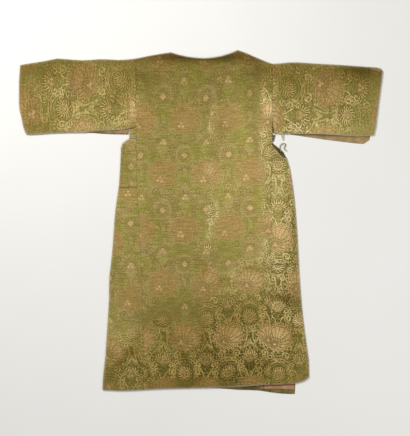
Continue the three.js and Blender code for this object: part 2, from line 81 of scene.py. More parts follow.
# ---- Sizes of the cloth, as the solids have them ----
FOLD_HEIGHT = 2.5 * MM  # height of a fold's middle above the table
FOLD_SLACK = 0.05 * MM  # points this near to that height lie in the fold
FOLD_FILL = 12  # points put between each two of a fold
SEAM_REACH = 1.2 * MM  # two edges nearer than this are sewn together
SEAM_CLOSE = 0.14 * MM  # how far each of them moves to the other
EDGE_STEP = 1.5 * MM  # distance between the points that stand for an edge
LEVEL = 0.7  # an edge that runs across by this share of its length is level
SHARP = math.radians(50)  # faces that meet at more than this make an edge
STEEP = 0.5  # a face whose normal is level by more than this is an edge of the cloth
AT_SEAM = 1.0  # points nearer than this to a seam move to it, in millimetres

Colour = tuple[float, float, float]
Place = tuple[float, float]


def srgb(red: int, green: int, blue: int) -> Colour:
    """The linear colour of an 8-bit one."""
    return tuple(
        c / 12.92 if c <= 0.04045 else ((c + 0.055) / 1.055) ** 2.4
        for c in (red / 255, green / 255, blue / 255)
    )


def ease(value: np.ndarray, start: float, end: float) -> np.ndarray:
    """0 up to start, 1 from end on, smooth between.

    Args:
        value: Some values.
        start: Where the rise starts.
        end: Where it is whole.

    Returns:
        The share at each value.
    """
    share = np.clip((value - start) / (end - start), 0.0, 1.0)
    return share * share * (3 - 2 * share)


def fade(away: np.ndarray, reach: float | np.ndarray) -> np.ndarray:
    """1 at no distance, and softly down to nothing at about twice the reach."""
    return np.exp(-((away / reach) ** 2))


def placed(name: str, data: bpy.types.ID) -> bpy.types.Object:
    """A new object that is in the scene.

    Args:
        name: Its name.
        data: Its mesh, curve, light or camera.

    Returns:
        The object.
    """
    made = bpy.data.objects.new(name, data)
    bpy.context.scene.collection.objects.link(made)
    return made


# =============================== Materials ===============================


class Signal:
    """A value that varies over a surface. Maths on it adds Math nodes to its tree."""

    def __init__(self, tree: NodeTree, socket: bpy.types.NodeSocket) -> None:
        """Wraps an output socket of a tree's node."""
        self.tree = tree
        self.socket = socket

    def __add__(self, other: Number) -> Signal:
        """The sum."""
        return self.tree.math("ADD", self, other)

    def __radd__(self, other: Number) -> Signal:
        """The sum, with the number first."""
        return self.tree.math("ADD", other, self)

    def __sub__(self, other: Number) -> Signal:
        """The difference."""
        return self.tree.math("SUBTRACT", self, other)

    def __rsub__(self, other: Number) -> Signal:
        """The difference, with the number first."""
        return self.tree.math("SUBTRACT", other, self)

    def __mul__(self, other: Number) -> Signal:
        """The product."""
        return self.tree.math("MULTIPLY", self, other)

    def __rmul__(self, other: Number) -> Signal:
        """The product, with the number first."""
        return self.tree.math("MULTIPLY", other, self)

    def __truediv__(self, other: Number) -> Signal:
        """The quotient."""
        return self.tree.math("DIVIDE", self, other)

    def __pow__(self, other: Number) -> Signal:
        """The power."""
        return self.tree.math("POWER", self, other)

    def __abs__(self) -> Signal:
        """The value without its sign."""
        return self.tree.math("ABSOLUTE", self)


Number = Signal | float


class NodeTree:
    """A node tree, and the call that adds nodes to it."""

    def __init__(self, tree: bpy.types.NodeTree) -> None:
        """Takes a tree that is to be filled."""
        self.tree = tree

    def node(
        self,
        kind: str,
        settings: dict[str, Any] | None = None,
        inputs: dict[str | int, Any] | None = None,
    ) -> bpy.types.Node:
        """Adds a node.

        Args:
            kind: The node's type.
            settings: Its properties, which are set first.
            inputs: What its sockets get, by name or index: a number, a colour or a Signal.

        Returns:
            The node.
        """
        made = self.tree.nodes.new(kind)
        for key, value in (settings or {}).items():
            setattr(made, key, value)
        for key, value in (inputs or {}).items():
            socket = made.inputs[key]
            if isinstance(value, Signal):
                self.tree.links.new(value.socket, socket)
            elif isinstance(value, tuple) and socket.type == "RGBA":
                socket.default_value = (*value, 1.0)
            else:
                socket.default_value = value
        return made

    def out(self, made: bpy.types.Node, socket: str | int = 0) -> Signal:
        """One output of a node, as a Signal."""
        return Signal(self, made.outputs[socket])

    def math(self, operation: str, *values: Number) -> Signal:
        """A Math node's result."""
        return self.out(
            self.node("ShaderNodeMath", {"operation": operation}, dict(enumerate(values)))
        )

    def vector(self, x: Number, y: Number, z: Number = 0.0) -> Signal:
        """Three values as a place."""
        return self.out(self.node("ShaderNodeCombineXYZ", None, {0: x, 1: y, 2: z}))


def cosine(angle: Signal) -> Signal:
    """The cosine of an angle."""
    return angle.tree.math("COSINE", angle)


def sine(angle: Signal) -> Signal:
    """The sine of an angle."""
    return angle.tree.math("SINE", angle)


def heading(x: Signal, y: Signal) -> Signal:
    """The angle of a place, from the second direction towards the first."""
    return x.tree.math("ARCTAN2", x, y)


def length(x: Signal, y: Signal) -> Signal:
    """The distance of a place from the origin."""
    return x.tree.math("SQRT", x * x + y * y)


def wrap(value: Signal, half: float) -> Signal:
    """The value brought between -half and half by whole periods."""
    return value.tree.math("WRAP", value, half, -half)


def least(first: Signal, second: Number) -> Signal:
    """The smaller of two values."""
    return first.tree.math("MINIMUM", first, second)


def either(*masks: Signal) -> Signal:
    """The greatest of some masks.

    Args:
        *masks: The masks.

    Returns:
        Their greatest value at each place.
    """
    most = masks[0]
    for mask in masks[1:]:
        most = most.tree.math("MAXIMUM", most, mask)
    return most


def smooth(value: Signal, start: float, end: float) -> Signal:
    """0 up to start and 1 from end on, smooth between, also where end is the lower one.

    Args:
        value: The value that is read.
        start: Where the rise starts.
        end: Where it is whole.

    Returns:
        A mask.
    """
    made = value.tree.node(
        "ShaderNodeMapRange",
        {"interpolation_type": "SMOOTHSTEP"},
        {"Value": value, "From Min": start, "From Max": end},
    )
    return value.tree.out(made)


class NodeSheet(NodeTree):
    """The node tree of one material."""

    def __init__(self, name: str) -> None:
        """Makes an empty material of that name."""
        self.material = bpy.data.materials.new(name)
        self.material.use_nodes = True
        super().__init__(self.material.node_tree)
        self.tree.nodes.clear()

    def mix(self, share: Number, low: Signal | Colour, high: Signal | Colour) -> Signal:
        """A colour between two others."""
        inputs = {0: share, 6: low, 7: high}
        return self.out(self.node("ShaderNodeMix", {"data_type": "RGBA"}, inputs), 2)

    def brighten(self, colour: Signal, times: Number) -> Signal:
        """A colour made brighter or darker."""
        inputs = {0: colour, 3: times}
        return self.out(self.node("ShaderNodeVectorMath", {"operation": "SCALE"}, inputs))

    def dye(self, colour: Signal, tint: Signal) -> Signal:
        """A colour times another."""
        inputs = {0: colour, 1: tint}
        return self.out(self.node("ShaderNodeVectorMath", {"operation": "MULTIPLY"}, inputs))

    def attribute(self, name: str) -> Signal:
        """A value that is kept at a mesh's points."""
        return self.out(self.node("ShaderNodeAttribute", {"attribute_name": name}), "Fac")

    def axes(self, place: Signal) -> tuple[Signal, Signal]:
        """The first two values of a place."""
        split = self.node("ShaderNodeSeparateXYZ", None, {0: place})
        return self.out(split, 0), self.out(split, 1)

    def cloud(self, place: Signal, scale: float, detail: float = 2.0, rough: float = 0.5) -> Signal:
        """Noise from 0 to 1.

        Args:
            place: Where it is read.
            scale: How many lumps there are in a unit of place.
            detail: How many finer layers it has.
            rough: How strong these are.

        Returns:
            The noise.
        """
        inputs = {"Vector": place, "Scale": scale, "Detail": detail, "Roughness": rough}
        return self.out(self.node("ShaderNodeTexNoise", None, inputs))

    def wander(self, place: Signal, scale: float) -> tuple[Signal, Signal]:
        """Two noises from about -0.5 to 0.5 that drift apart.

        Args:
            place: Where they are read.
            scale: How many lumps there are in a unit of place.

        Returns:
            The two noises.
        """
        inputs = {"Vector": place, "Scale": scale, "Detail": 1.0}
        across, along = self.axes(self.out(self.node("ShaderNodeTexNoise", None, inputs), 1))
        return across - 0.5, along - 0.5

    def finish(
        self,
        colour: Signal,
        roughness: Number,
        height: Signal,
        relief: float,
        sheen: float,
        gleam: Colour = (1.0, 1.0, 1.0),
    ) -> bpy.types.Material:
        """Ends the tree in a cloth shader.

        Args:
            colour: The base colour.
            roughness: The roughness.
            height: A height from 0 to 1 that is raised.
            relief: How much it raises, in metres.
            sheen: Weight of the fine fuzz's sheen.
            gleam: Colour of the light that the surface throws back.

        Returns:
            The material.
        """
        bump = self.node("ShaderNodeBump", None, {"Distance": relief, "Height": height})
        look = {
            "Base Color": colour,
            "Roughness": roughness,
            "Normal": self.out(bump),
            "Specular IOR Level": 0.2,
            "Specular Tint": gleam,
            "Sheen Weight": sheen,
            "Sheen Roughness": 0.5,
            "Sheen Tint": gleam,
        }
        shader = self.node("ShaderNodeBsdfPrincipled", None, look)
        self.node("ShaderNodeOutputMaterial", None, {0: self.out(shader)})
        return self.material


@dataclass(frozen=True)
class Repeat:
    """The weave's half-drop repeat, in millimetres of cloth, from a palmette's heart."""

    half_width: float = 80.5
    half_height: float = 201.5
    palmette: Place = (15.0, 22.0)
    daisy: Place = (12.0, -112.0)
    sprig: Place = (13.0, 137.0)


@dataclass(frozen=True)
class Figures:
    """The masks that a figure is drawn with, each from 0 to 1."""

    lines: Signal
    dots: Signal
    petals: Number = 0.0
    florets: Number = 0.0
    gaps: Number = 0.0
    outlines: Number = 0.0


@dataclass(frozen=True)
class Lampas:
    """A weave of palmettes, daisies and sprigs in ogival stems, drawn in millimetres of cloth.

    The fields are half the widths of its lines, the fading edge outside them, the distances
    between coils, echoes and rings, and how much larger than drawn a palmette is.
    """

    repeat: Repeat = field(default_factory=Repeat)
    fine: float = 1.3
    bold: float = 1.5
    halo: float = 1.6
    dot: float = 4.6
    coil: float = 9.0
    echo_period: float = 10.5
    ring_spacing: float = 19.0
    bloom: float = 1.09

    def nearest(self, u: Signal, v: Signal, at: Place) -> tuple[Signal, Signal]:
        """The place as seen from the nearest copy of a motif.

        Args:
            u: Place along the weft, in millimetres.
            v: Place along the warp.
            at: The motif's place in the repeat.

        Returns:
            How far the place is to the right of the motif and above it.
        """
        half_w, half_h = self.repeat.half_width, self.repeat.half_height
        straight = (wrap(u - at[0], half_w), wrap(v - at[1], half_h))
        dropped = (wrap(u - (at[0] + half_w), half_w), wrap(v - (at[1] + half_h), half_h))
        nearer = u.tree.math("LESS_THAN", length(*straight), length(*dropped))
        return tuple(d + (s - d) * nearer for s, d in zip(straight, dropped))

    def spot(self, x: Signal, y: Signal, radius: float, soft: float = 1.2) -> Signal:
        """A round spot at the origin of x and y, with a soft edge."""
        return smooth(length(x, y), radius + soft, radius - soft)

    def three_dots(self, x: Signal, y: Signal) -> Signal:
        """One dot above two."""
        above = self.spot(x, y - 6.2, self.dot, 1.4)
        return either(above, self.spot(abs(x) - 6.2, y + 4.0, self.dot, 1.4))

    def line(self, beside: Signal, half: float, halo: float = 0.0) -> Signal:
        """A line of a half width, from the distance beside it, that fades out over a halo."""
        return smooth(abs(beside), half + 1.0 + halo, half - 1.0)

    def rays(
        self, away: Signal, angle: Signal, count: int, half: float, halo: float = 0.0
    ) -> Signal:
        """Straight rays from a centre.

        Args:
            away: The distance from the centre.
            angle: The angle round it.
            count: How many rays there are to a half turn.
            half: Half the width of each.
            halo: The width of its fading edge.

        Returns:
            The rays' mask.
        """
        return self.line(away * sine(angle * float(count)) / float(count), half, halo)

    def band(self, value: Signal, low: float, high: float) -> Signal:
        """1 between two limits, with soft ends."""
        return smooth(value, low - 1.5, low + 1.5) * smooth(value, high + 1.5, high - 1.5)

    def ring_of_spots(
        self, away: Signal, angle: Signal, count: int, radius: float, size: float
    ) -> Signal:
        """Spots on a ring.

        Args:
            away: The distance from the ring's centre.
            angle: The angle round it.
            count: How many spots there are to a half turn.
            radius: The ring's radius.
            size: The spots' radius.

        Returns:
            The spots' mask.
        """
        return self.spot(wrap(angle, math.pi / (2 * count)) * away, away - radius, size)

    def curl(self, x: Signal, y: Signal, radius: float, hand: float = 1.0) -> Signal:
        """A coiled tendril.

        Args:
            x: How far a place is to the right of its centre.
            y: How far it is above it.
            radius: Its outer radius.
            hand: 1, or -1 for one that coils the other way.

        Returns:
            The tendril's mask.
        """
        away = length(x, y)
        turn = heading(y, x) * (hand * self.coil / math.tau)
        coil = self.line(wrap(away - turn, self.coil / 2), self.bold, self.halo)
        return coil * smooth(away, radius + 1.0, radius - 1.0)

    def palmette(self, u: Signal, v: Signal) -> tuple[Figures, Signal]:
        """A broad flower edged with beads, whose petals spread from a heart of three dots.

        Args:
            u: Place along the weft, in millimetres.
            v: Place along the warp.

        Returns:
            Its masks, and how far a place is from its middle.
        """
        at = self.repeat.palmette
        a, b = (d / self.bloom for d in self.nearest(u, v, at))
        r, t = length(a, b * 1.07), heading(a, b)
        scallops = cosine(t * 20.0)
        body = smooth(51.0 + 3.6 * scallops - r, -1.2, 1.2)
        beads = self.ring_of_spots(r, t, 10, 47.0, 2.7)
        hem = self.line(r - 41.5 + 1.5 * scallops, self.fine)

        heart_x, heart_y = a + at[0] / self.bloom, b + at[1] / self.bloom
        r2, t2 = length(heart_x, heart_y), heading(heart_x, heart_y)
        rays = self.rays(r2, t2 + a * 0.004, 9, 1.4) * smooth(r2, 3.0, 6.0)
        inner = self.line(r2 - 22.0 + 2.0 * cosine(t2 * 10.0), 1.2)
        cuts = either(rays, inner) * smooth(r, 41.0, 39.0)
        curls = either(
            self.curl(abs(a) - 27.0, b + 62.0, 14.0), self.curl(abs(a) - 30.0, b - 67.0, 12.0, -1.0)
        )
        gaps = either(beads, 0.8 * hem, 0.8 * cuts) * body
        dots = self.three_dots(heart_x, heart_y)
        return Figures(curls * (1.0 - body), dots, petals=body, gaps=gaps), r * self.bloom

    def daisy(self, u: Signal, v: Signal) -> tuple[Figures, Signal]:
        """A small flower of thin bent petals round four dots, under an arch of two stems.

        Args:
            u: Place along the weft, in millimetres.
            v: Place along the warp.

        Returns:
            Its masks, and how far a place is from its middle.
        """
        c, d = self.nearest(u, v, self.repeat.daisy)
        side = abs(c)
        r, t = length(c, d), heading(side, d)
        petals = self.rays(r, t + r * 0.030, 8, self.fine, self.halo) * self.band(r, 11.0, 30.0)
        arches = either(*(self.line(r - far, self.bold, self.halo) for far in (45.0, 56.0)))
        beads = self.ring_of_spots(r, t, 16, 50.5, 2.2)
        teeth = self.rays(r, t - r * 0.02, 17, self.fine, self.halo) * self.band(r, 60.0, 67.0)
        arch = 0.84 * either(arches, beads, teeth) * smooth(t, 1.75, 1.6)
        curls = either(
            self.curl(side - 42.0, d + 17.0, 13.0, -1.0), self.curl(side - 15.0, d + 47.0, 11.0)
        )
        dots = either(self.spot(side - 5.6, d, 4.2, 1.4), self.spot(c, abs(d) - 5.6, 4.2, 1.4))
        floret = 0.45 * smooth(r, 29.0, 22.0)
        return Figures(either(petals, arch, curls), dots, florets=floret), r

    def sprig(self, u: Signal, v: Signal) -> tuple[Figures, Signal]:
        """Three dots under a fan of bent petals, on a stalk that parts into two leaves.

        Args:
            u: Place along the weft, in millimetres.
            v: Place along the warp.

        Returns:
            Its masks, and how far a place is from its middle.
        """
        e, f = self.nearest(u, v, self.repeat.sprig)
        side = abs(e)
        r, t = length(e, f), heading(side, f)
        fan = self.rays(r, t + r * 0.020, 8, self.fine, self.halo) * self.band(r, 13.0, 31.0)
        fan = either(fan, self.ring_of_spots(r, t, 8, 37.0, 2.8)) * smooth(t, 1.9, 1.6)
        flare = (f + 78.0) * (1 / 11.0)
        stalk = self.line(side - 5.0 - flare * flare, 1.6, self.halo) * self.band(f, -80.0, -26.0)
        curl = self.curl(side - 27.0, f + 14.0, 12.0)
        floret = 0.4 * smooth(length(e, f - 8.0), 29.0, 22.0)
        return Figures(either(fan, stalk, curl), self.three_dots(e, f), florets=floret), r

    def stems(self, u: Signal, v: Signal) -> Signal:
        """Ogival stems between the flowers.

        Args:
            u: Place along the weft, in millimetres.
            v: Place along the warp.

        Returns:
            The stems' mask.
        """
        at = self.repeat.palmette
        across = cosine((u - at[0]) * (math.pi / self.repeat.half_width))
        along = cosine((v - at[1]) * (math.pi / self.repeat.half_height))
        return 0.65 * smooth(abs(abs(across + along) - 0.09), 0.075, 0.035)

    def scrolls(self, u: Signal, v: Signal, away: Signal) -> Signal:
        """Small rings of tendril and lines that follow the flowers' outlines, between them.

        Args:
            u: Place along the weft, in millimetres.
            v: Place along the warp.
            away: How far a place is outside the flowers.

        Returns:
            The scrolls' mask.
        """
        half = self.echo_period / 2
        echoes = self.line(wrap(away - half, half), self.bold)
        cells = u.tree.node(
            "ShaderNodeTexVoronoi",
            {"feature": "F1"},
            {"Vector": u.tree.vector(u, v), "Scale": 1.0 / self.ring_spacing, "Randomness": 0.8},
        )
        rings = self.line(u.tree.out(cells, "Distance") * self.ring_spacing - 4.6, self.bold)
        return either(0.4 * echoes, 0.75 * rings) * smooth(away, 2.0, 5.0)

    def drawn(self, u: Signal, v: Signal) -> Figures:
        """The whole repeat.

        Args:
            u: Place along the weft, in millimetres.
            v: Place along the warp.

        Returns:
            Its masks.
        """
        palmette, from_palmette = self.palmette(u, v)
        daisy, from_daisy = self.daisy(u, v)
        sprig, from_sprig = self.sprig(u, v)
        flowers = either(daisy.lines, sprig.lines, palmette.lines)
        away = least(least(from_palmette - 56.5, from_daisy - 32.0), from_sprig - 40.0)
        stems = either(self.stems(u, v), self.scrolls(u, v, away)) * smooth(away, 0.0, 3.0)
        crisp = smooth(flowers, 0.58, 0.88)
        outside = 1.0 - palmette.petals
        return Figures(
            lines=either(crisp, stems) * outside,
            dots=either(palmette.dots, 0.75 * daisy.dots, sprig.dots),
            petals=palmette.petals,
            florets=either(daisy.florets, sprig.florets),
            gaps=palmette.gaps,
            outlines=smooth(flowers, 0.05, 0.35) * (1.0 - crisp) * outside,
        )


@dataclass(frozen=True)
class FiguredSilk:
    """Worn lampas silk. Its lines are dark where the light weft is rubbed off, and pale elsewhere.
    """

    name: str = "figured_silk"
    ground: Colour = srgb(147, 141, 67)
    ground_tan: Colour = srgb(161, 137, 95)
    ground_deep: Colour = srgb(72, 66, 2)
    petal: Colour = srgb(145, 116, 64)
    petal_fresh: Colour = srgb(188, 155, 98)
    # The paler lit copies are used where the painted light is brighter.
    petal_pale_lit: Colour = srgb(198, 171, 120)
    slub: Colour = srgb(184, 156, 104)
    line_faded: Colour = srgb(112, 90, 38)
    line_fresh: Colour = srgb(190, 163, 96)
    line_pale_lit: Colour = srgb(208, 189, 134)
    dot: Colour = srgb(200, 164, 120)
    rim_highlight_and_wear: Colour = srgb(178, 168, 146)
    brown: Colour = srgb(100, 74, 42)
    outline: Colour = srgb(82, 66, 18)
    gleam: Colour = srgb(246, 234, 194)
    drift: float = 14.0  # how far the weave strays slowly, in millimetres
    tremble: float = 5.0  # and how far quickly
    # The next two say how much faster green and blue fall than red where painted shade darkens the
    # cloth.
    dim_green: float = 0.12  # how much faster green falls than red in the shade
    dim_blue: float = 0.80  # and blue
    relief: float = 0.35 * MM
    sheen: float = 0.06
    lampas: Lampas = field(default_factory=Lampas)

    def material(self) -> bpy.types.Material:
        """Builds the material from the cloth map, and the marks and painted light kept at the
        mesh's points.

        Returns:
            The material.
        """
        sheet = NodeSheet(self.name)
        mix = sheet.mix
        place = sheet.out(sheet.node("ShaderNodeUVMap", {"uv_map": "cloth"}))
        right, up = (d * 1000.0 for d in sheet.axes(place))
        slow_u, slow_v = sheet.wander(place, 13.0)
        quick_u, quick_v = sheet.wander(place, 95.0)
        u = right + slow_u * self.drift + quick_u * self.tremble
        v = up + slow_v * self.drift + quick_v * self.tremble
        drawn = self.lampas.drawn(u, v)
        # The light and shade painted at the points, with the fading of the silk, and how fresh the
        # figures are.
        fresh, painted_shade_and_fading = sheet.attribute("fresh"), sheet.attribute("painted_shade_and_fading")
        deep = sheet.attribute("deep")
        weft = sheet.cloud(sheet.vector(right * 0.02, up * 0.22), 1.0, 2.0, 0.6)
        wisp = sheet.cloud(sheet.vector(right * 0.06, up * 0.26, 5.0), 1.0, 2.0, 0.6)
        thread = sheet.cloud(sheet.vector(right * 0.35, up * 1.9), 1.0, 2.0, 0.6)
        fleck = sheet.cloud(place, 190.0, 2.0, 0.7)
        blot = sheet.cloud(place, 11.0, 3.0, 0.6)
        # The second mask is where the painted light is brighter, for the paler lit copies of the
        # colours.
        pale, light = smooth(fresh, 0.12, 0.42), smooth(painted_shade_and_fading, 0.38, 0.58)
        kept = smooth(blot + (fleck - 0.5) * 0.9, 0.15, 0.52)

        # The ground, and the flowers' bodies on it.
        patchy = smooth(blot + (weft - 0.5) * 1.2, 0.35, 0.65)
        ground = mix(patchy * (0.75 - 0.8 * deep), self.ground, self.ground_tan)
        ground = mix(deep, ground, self.ground_deep)
        petal = mix(fresh, self.petal, mix(light, self.petal_fresh, self.petal_pale_lit))
        bodies = either(drawn.petals, drawn.florets * (0.15 + 0.85 * fresh))
        colour = mix(bodies * (0.45 + 0.5 * kept), ground, petal)
        # Specks, thick threads and threads worn bare.
        colour = mix(smooth(fleck, 0.5, 0.62) * fresh * 0.45, colour, self.petal_fresh)
        slubs = smooth(wisp, 0.56, 0.70) * (0.25 + 0.35 * drawn.petals)
        colour = mix(slubs, colour, self.slub)
        bare = smooth(wisp, 0.44, 0.32) * drawn.petals * (0.45 - 0.3 * fresh)
        colour = mix(bare, colour, self.brown)
        # What is drawn on them.
        line = mix(pale, self.line_faded, mix(light, self.line_fresh, self.line_pale_lit))
        cut = mix(pale * 0.8, ground, self.outline)
        colour = mix(drawn.gaps * (0.38 + 0.55 * fresh), colour, cut)
        colour = mix(drawn.outlines * (0.10 + 0.55 * pale) * kept, colour, self.outline)
        colour = mix(drawn.lines * (0.64 + 0.26 * pale) * kept, colour, line)
        colour = mix(drawn.dots * (0.76 - 0.76 * fresh * fresh) * kept, colour, self.dot)
        # Brown for the stains and holes, and for the painted shadow in creases and the slit.
        colour = mix(sheet.attribute("stain_and_crease_shadow"), colour, self.brown)
        # How light the threads are, times the painted light and shade, which is more saturated
        # where darker, and the pale rim of painted highlight along the rubbed edges.
        streak = 1.0 + (weft - 0.5) * 0.9 + (fleck - 0.5) * (1.45 + 0.3 * fresh)
        streak = streak + (blot - 0.5) * 0.3 + (thread - 0.5) * 0.4
        lit = streak * painted_shade_and_fading * 2.0
        dim = least(lit, 1.0)
        tint = sheet.vector(lit, lit * dim**self.dim_green, lit * dim**self.dim_blue)
        colour = mix(sheet.attribute("edge_highlight_and_wear"), sheet.dye(colour, tint), self.rim_highlight_and_wear)
        colour = sheet.brighten(colour, 1.0 - sheet.attribute("seam"))
        height = thread * 0.5 + weft * 0.3 + drawn.lines * 0.3 + drawn.petals * 0.2
        rough = 0.74 - 0.14 * drawn.lines
        return sheet.finish(colour, rough, height, self.relief, self.sheen, self.gleam)


@dataclass(frozen=True)
class PlainWeave:
    """A plain cloth in one colour, with threads both ways and darker, rubbed blotches."""

    name: str
    colour: Colour
    deep: Colour
    thread: float = 0.7 * MM
    sheen: float = 0.08
    relief: float = 0.2 * MM
    # Whether the cloth is darkened by the painted light and shade kept at its points.
    reads_painted_shade: bool = False

    def material(self) -> bpy.types.Material:
        """Builds the material from Object coordinates.

        Returns:
            The material.
        """
        sheet = NodeSheet(self.name)
        place = sheet.out(sheet.node("ShaderNodeTexCoord"), "Object")
        x, y = sheet.axes(place)
        turns = math.tau / (2 * self.thread)
        over = sine(x * turns) * sine(y * turns)
        slubs = sheet.cloud(sheet.vector(x * 60.0, y * 700.0), 1.0)
        blot = sheet.cloud(place, 45.0, 3.0, 0.6)
        colour = sheet.mix(smooth(blot + slubs * 0.5, 0.45, 1.0), self.colour, self.deep)
        colour = sheet.brighten(colour, 0.96 + 0.08 * over)
        # Painted shade, mostly painted shadow where the back layer shows under the front.
        if self.reads_painted_shade:
            colour = sheet.brighten(colour, sheet.attribute("painted_shade_and_fading") * 2.0)
        return sheet.finish(colour, 0.8, over * 0.4 + slubs * 0.6, self.relief, self.sheen)


class Finish(Enum):
    """The finishes of the garment's pieces."""

    SILK = FiguredSilk()
    REVERSE = PlainWeave("silk_reverse", srgb(126, 114, 62), srgb(98, 88, 42), reads_painted_shade=True)
    SLEEVE_REVERSE = PlainWeave(
        "sleeve_reverse", srgb(180, 146, 106), srgb(140, 118, 74), reads_painted_shade=True
    )
    LINING = PlainWeave("pink_lining", srgb(194, 144, 110), srgb(168, 120, 84), reads_painted_shade=True)
    SCRAP = PlainWeave("pale_lining", srgb(186, 160, 130), srgb(150, 120, 92), reads_painted_shade=True)
    LINEN = PlainWeave("linen_tape", srgb(204, 190, 168), srgb(170, 156, 132))
    LOOP = PlainWeave("loop_tape_silk", srgb(176, 172, 132), srgb(138, 136, 98))
    THREAD = PlainWeave("sewing_thread", srgb(150, 138, 92), srgb(120, 108, 66), 0.3 * MM)


class Dyer:
    """Makes each finish's material once."""

    def __init__(self) -> None:
        """Starts with no materials."""
        self._made: dict[Finish, bpy.types.Material] = {}

    def material(self, finish: Finish) -> bpy.types.Material:
        """The material of a finish.

        Args:
            finish: The finish.

        Returns:
            Its material, the same one each time.
        """
        if finish not in self._made:
            self._made[finish] = finish.value.material()
        return self._made[finish]


# =============================== Wear, painted light and shade, and creases =====


@dataclass(frozen=True)
class Patch:
    """A soft-edged oval on the front of the garment, in millimetres, that changes the cloth."""

    x: float
    y: float
    half_width: float
    half_height: float
    amount: float
    turn: float = 0.0

    def at(self, x: np.ndarray, y: np.ndarray) -> np.ndarray:
        """How much it changes the cloth at some places, in millimetres.

        Args:
            x: The places' distances to the right of the middle.
            y: Their heights above it.

        Returns:
            The change at each place.
        """
        angle = math.radians(self.turn)
        right = (x - self.x) * math.cos(angle) + (y - self.y) * math.sin(angle)
        up = (y - self.y) * math.cos(angle) - (x - self.x) * math.sin(angle)
        far = (right / self.half_width) ** 2 + (up / self.half_height) ** 2
        return self.amount * np.exp(-far)


@dataclass(frozen=True)
class Crease:
    """A soft trough or ridge from one place to another, in millimetres."""

    start: Place
    end: Place
    half_width: float
    rise: float

    def at(self, x: np.ndarray, y: np.ndarray) -> np.ndarray:
        """Its rise at some places, in millimetres.

        Args:
            x: The places' distances to the right of the middle.
            y: Their heights above it.

        Returns:
            The rise at each place.
        """
        run = np.subtract(self.end, self.start)
        length = float(np.hypot(*run))
        along = ((x - self.start[0]) * run[0] + (y - self.start[1]) * run[1]) / length**2
        across = ((x - self.start[0]) * run[1] - (y - self.start[1]) * run[0]) / length
        ends = ease(along, 0.0, 0.25) * ease(1 - along, 0.0, 0.25)
        return self.rise * ends * np.exp(-((across / self.half_width) ** 2))


def total(marks: Sequence[Patch | Crease], x: np.ndarray, y: np.ndarray) -> np.ndarray:
    """What some patches or creases add up to at some places, in millimetres."""
    return sum(mark.at(x, y) for mark in marks)


# Painted light and shade, together with the fading of the silk: how light the cloth is, 0 is its
# mean.
PAINTED_SHADE_AND_FADING = (
    Patch(0, 655, 900, 190, -0.39),
    Patch(-60, 330, 240, 120, -0.05),
    Patch(0, 612, 260, 22, -0.46),
    Patch(-230, 530, 70, 40, -0.18),
    Patch(214, 560, 40, 40, -0.20),
    Patch(-610, 350, 80, 24, -0.26),
    Patch(-318, 451, 30, 40, -0.18),
    Patch(580, 560, 70, 30, -0.20),
    Patch(-60, -320, 200, 75, -0.16),
    Patch(200, -450, 110, 60, 0.20),
    Patch(-120, -470, 110, 120, 0.07),
    Patch(44, -380, 34, 80, 0.10),
    Patch(-165, -375, 80, 40, -0.10),
    Patch(205, -170, 60, 24, -0.20),
    Patch(90, -222, 30, 24, -0.16),
    Patch(214, -533, 24, 24, -0.16),
    Patch(-251, -560, 30, 50, 0.18),
    Patch(281, -326, 20, 22, 0.42),
    Patch(10, -535, 200, 26, 0.16),
    Patch(60, -588, 220, 30, 0.08),
    Patch(281, -460, 24, 200, 0.12),
    Patch(348, -377, 22, 24, 0.22),
    Patch(-530, 490, 80, 60, 0.16),
    Patch(348, 400, 20, 24, 0.22),
    Patch(470, 480, 150, 60, 0.09),
    Patch(15, -170, 14, 36, -0.28),
    Patch(-118, -429, 30, 24, -0.22),
    Patch(-251, -481, 26, 20, -0.24),
    Patch(-318, -170, 14, 40, -0.18),
    Patch(348, -429, 22, 22, -0.22),
    Patch(80, 348, 30, 24, -0.20),
    Patch(275, 348, 70, 18, -0.16),
    Patch(-251, 348, 30, 20, -0.18),
    Patch(-60, -60, 190, 160, -0.06),
    Patch(283, 240, 20, 30, -0.20),
    Patch(-285, 200, 30, 70, -0.12),
    Patch(-600, 470, 130, 130, -0.16),
    Patch(-450, 520, 90, 60, 0.10),
    Patch(600, 540, 150, 90, -0.13),
    Patch(350, 520, 60, 60, -0.12),
    Patch(470, 340, 190, 24, 0.26),
    Patch(-400, 345, 130, 18, 0.14),
    Patch(-252, 422, 12, 46, 0.22),
    Patch(246, 420, 26, 70, 0.30),
    Patch(250, 60, 90, 250, 0.17),
    Patch(146, 350, 44, 150, 0.16),
    Patch(110, 190, 100, 260, 0.12),
    Patch(-240, 190, 20, 110, 0.12),
    Patch(610, 560, 80, 44, -0.18),
    Patch(60, 120, 120, 190, 0.10),
    Patch(284, -40, 24, 110, 0.16),
    Patch(-447, 500, 46, 60, -0.06),
    Patch(-600, 560, 150, 40, -0.16),
    Patch(352, -30, 14, 220, -0.16),
    Patch(-290, 30, 40, 90, 0.10),
    Patch(-300, -430, 50, 90, 0.14),
    Patch(0, -640, 520, 230, -0.40),
    Patch(120, -350, 150, 90, -0.16),
    Patch(300, -285, 60, 16, -0.22, -20),
    Patch(310, -385, 60, 16, -0.20, -10),
    Patch(-285, -500, 16, 110, -0.20, -35),
    Patch(-60, -500, 14, 80, -0.20, 30),
    Patch(10, -430, 14, 50, -0.30),
)
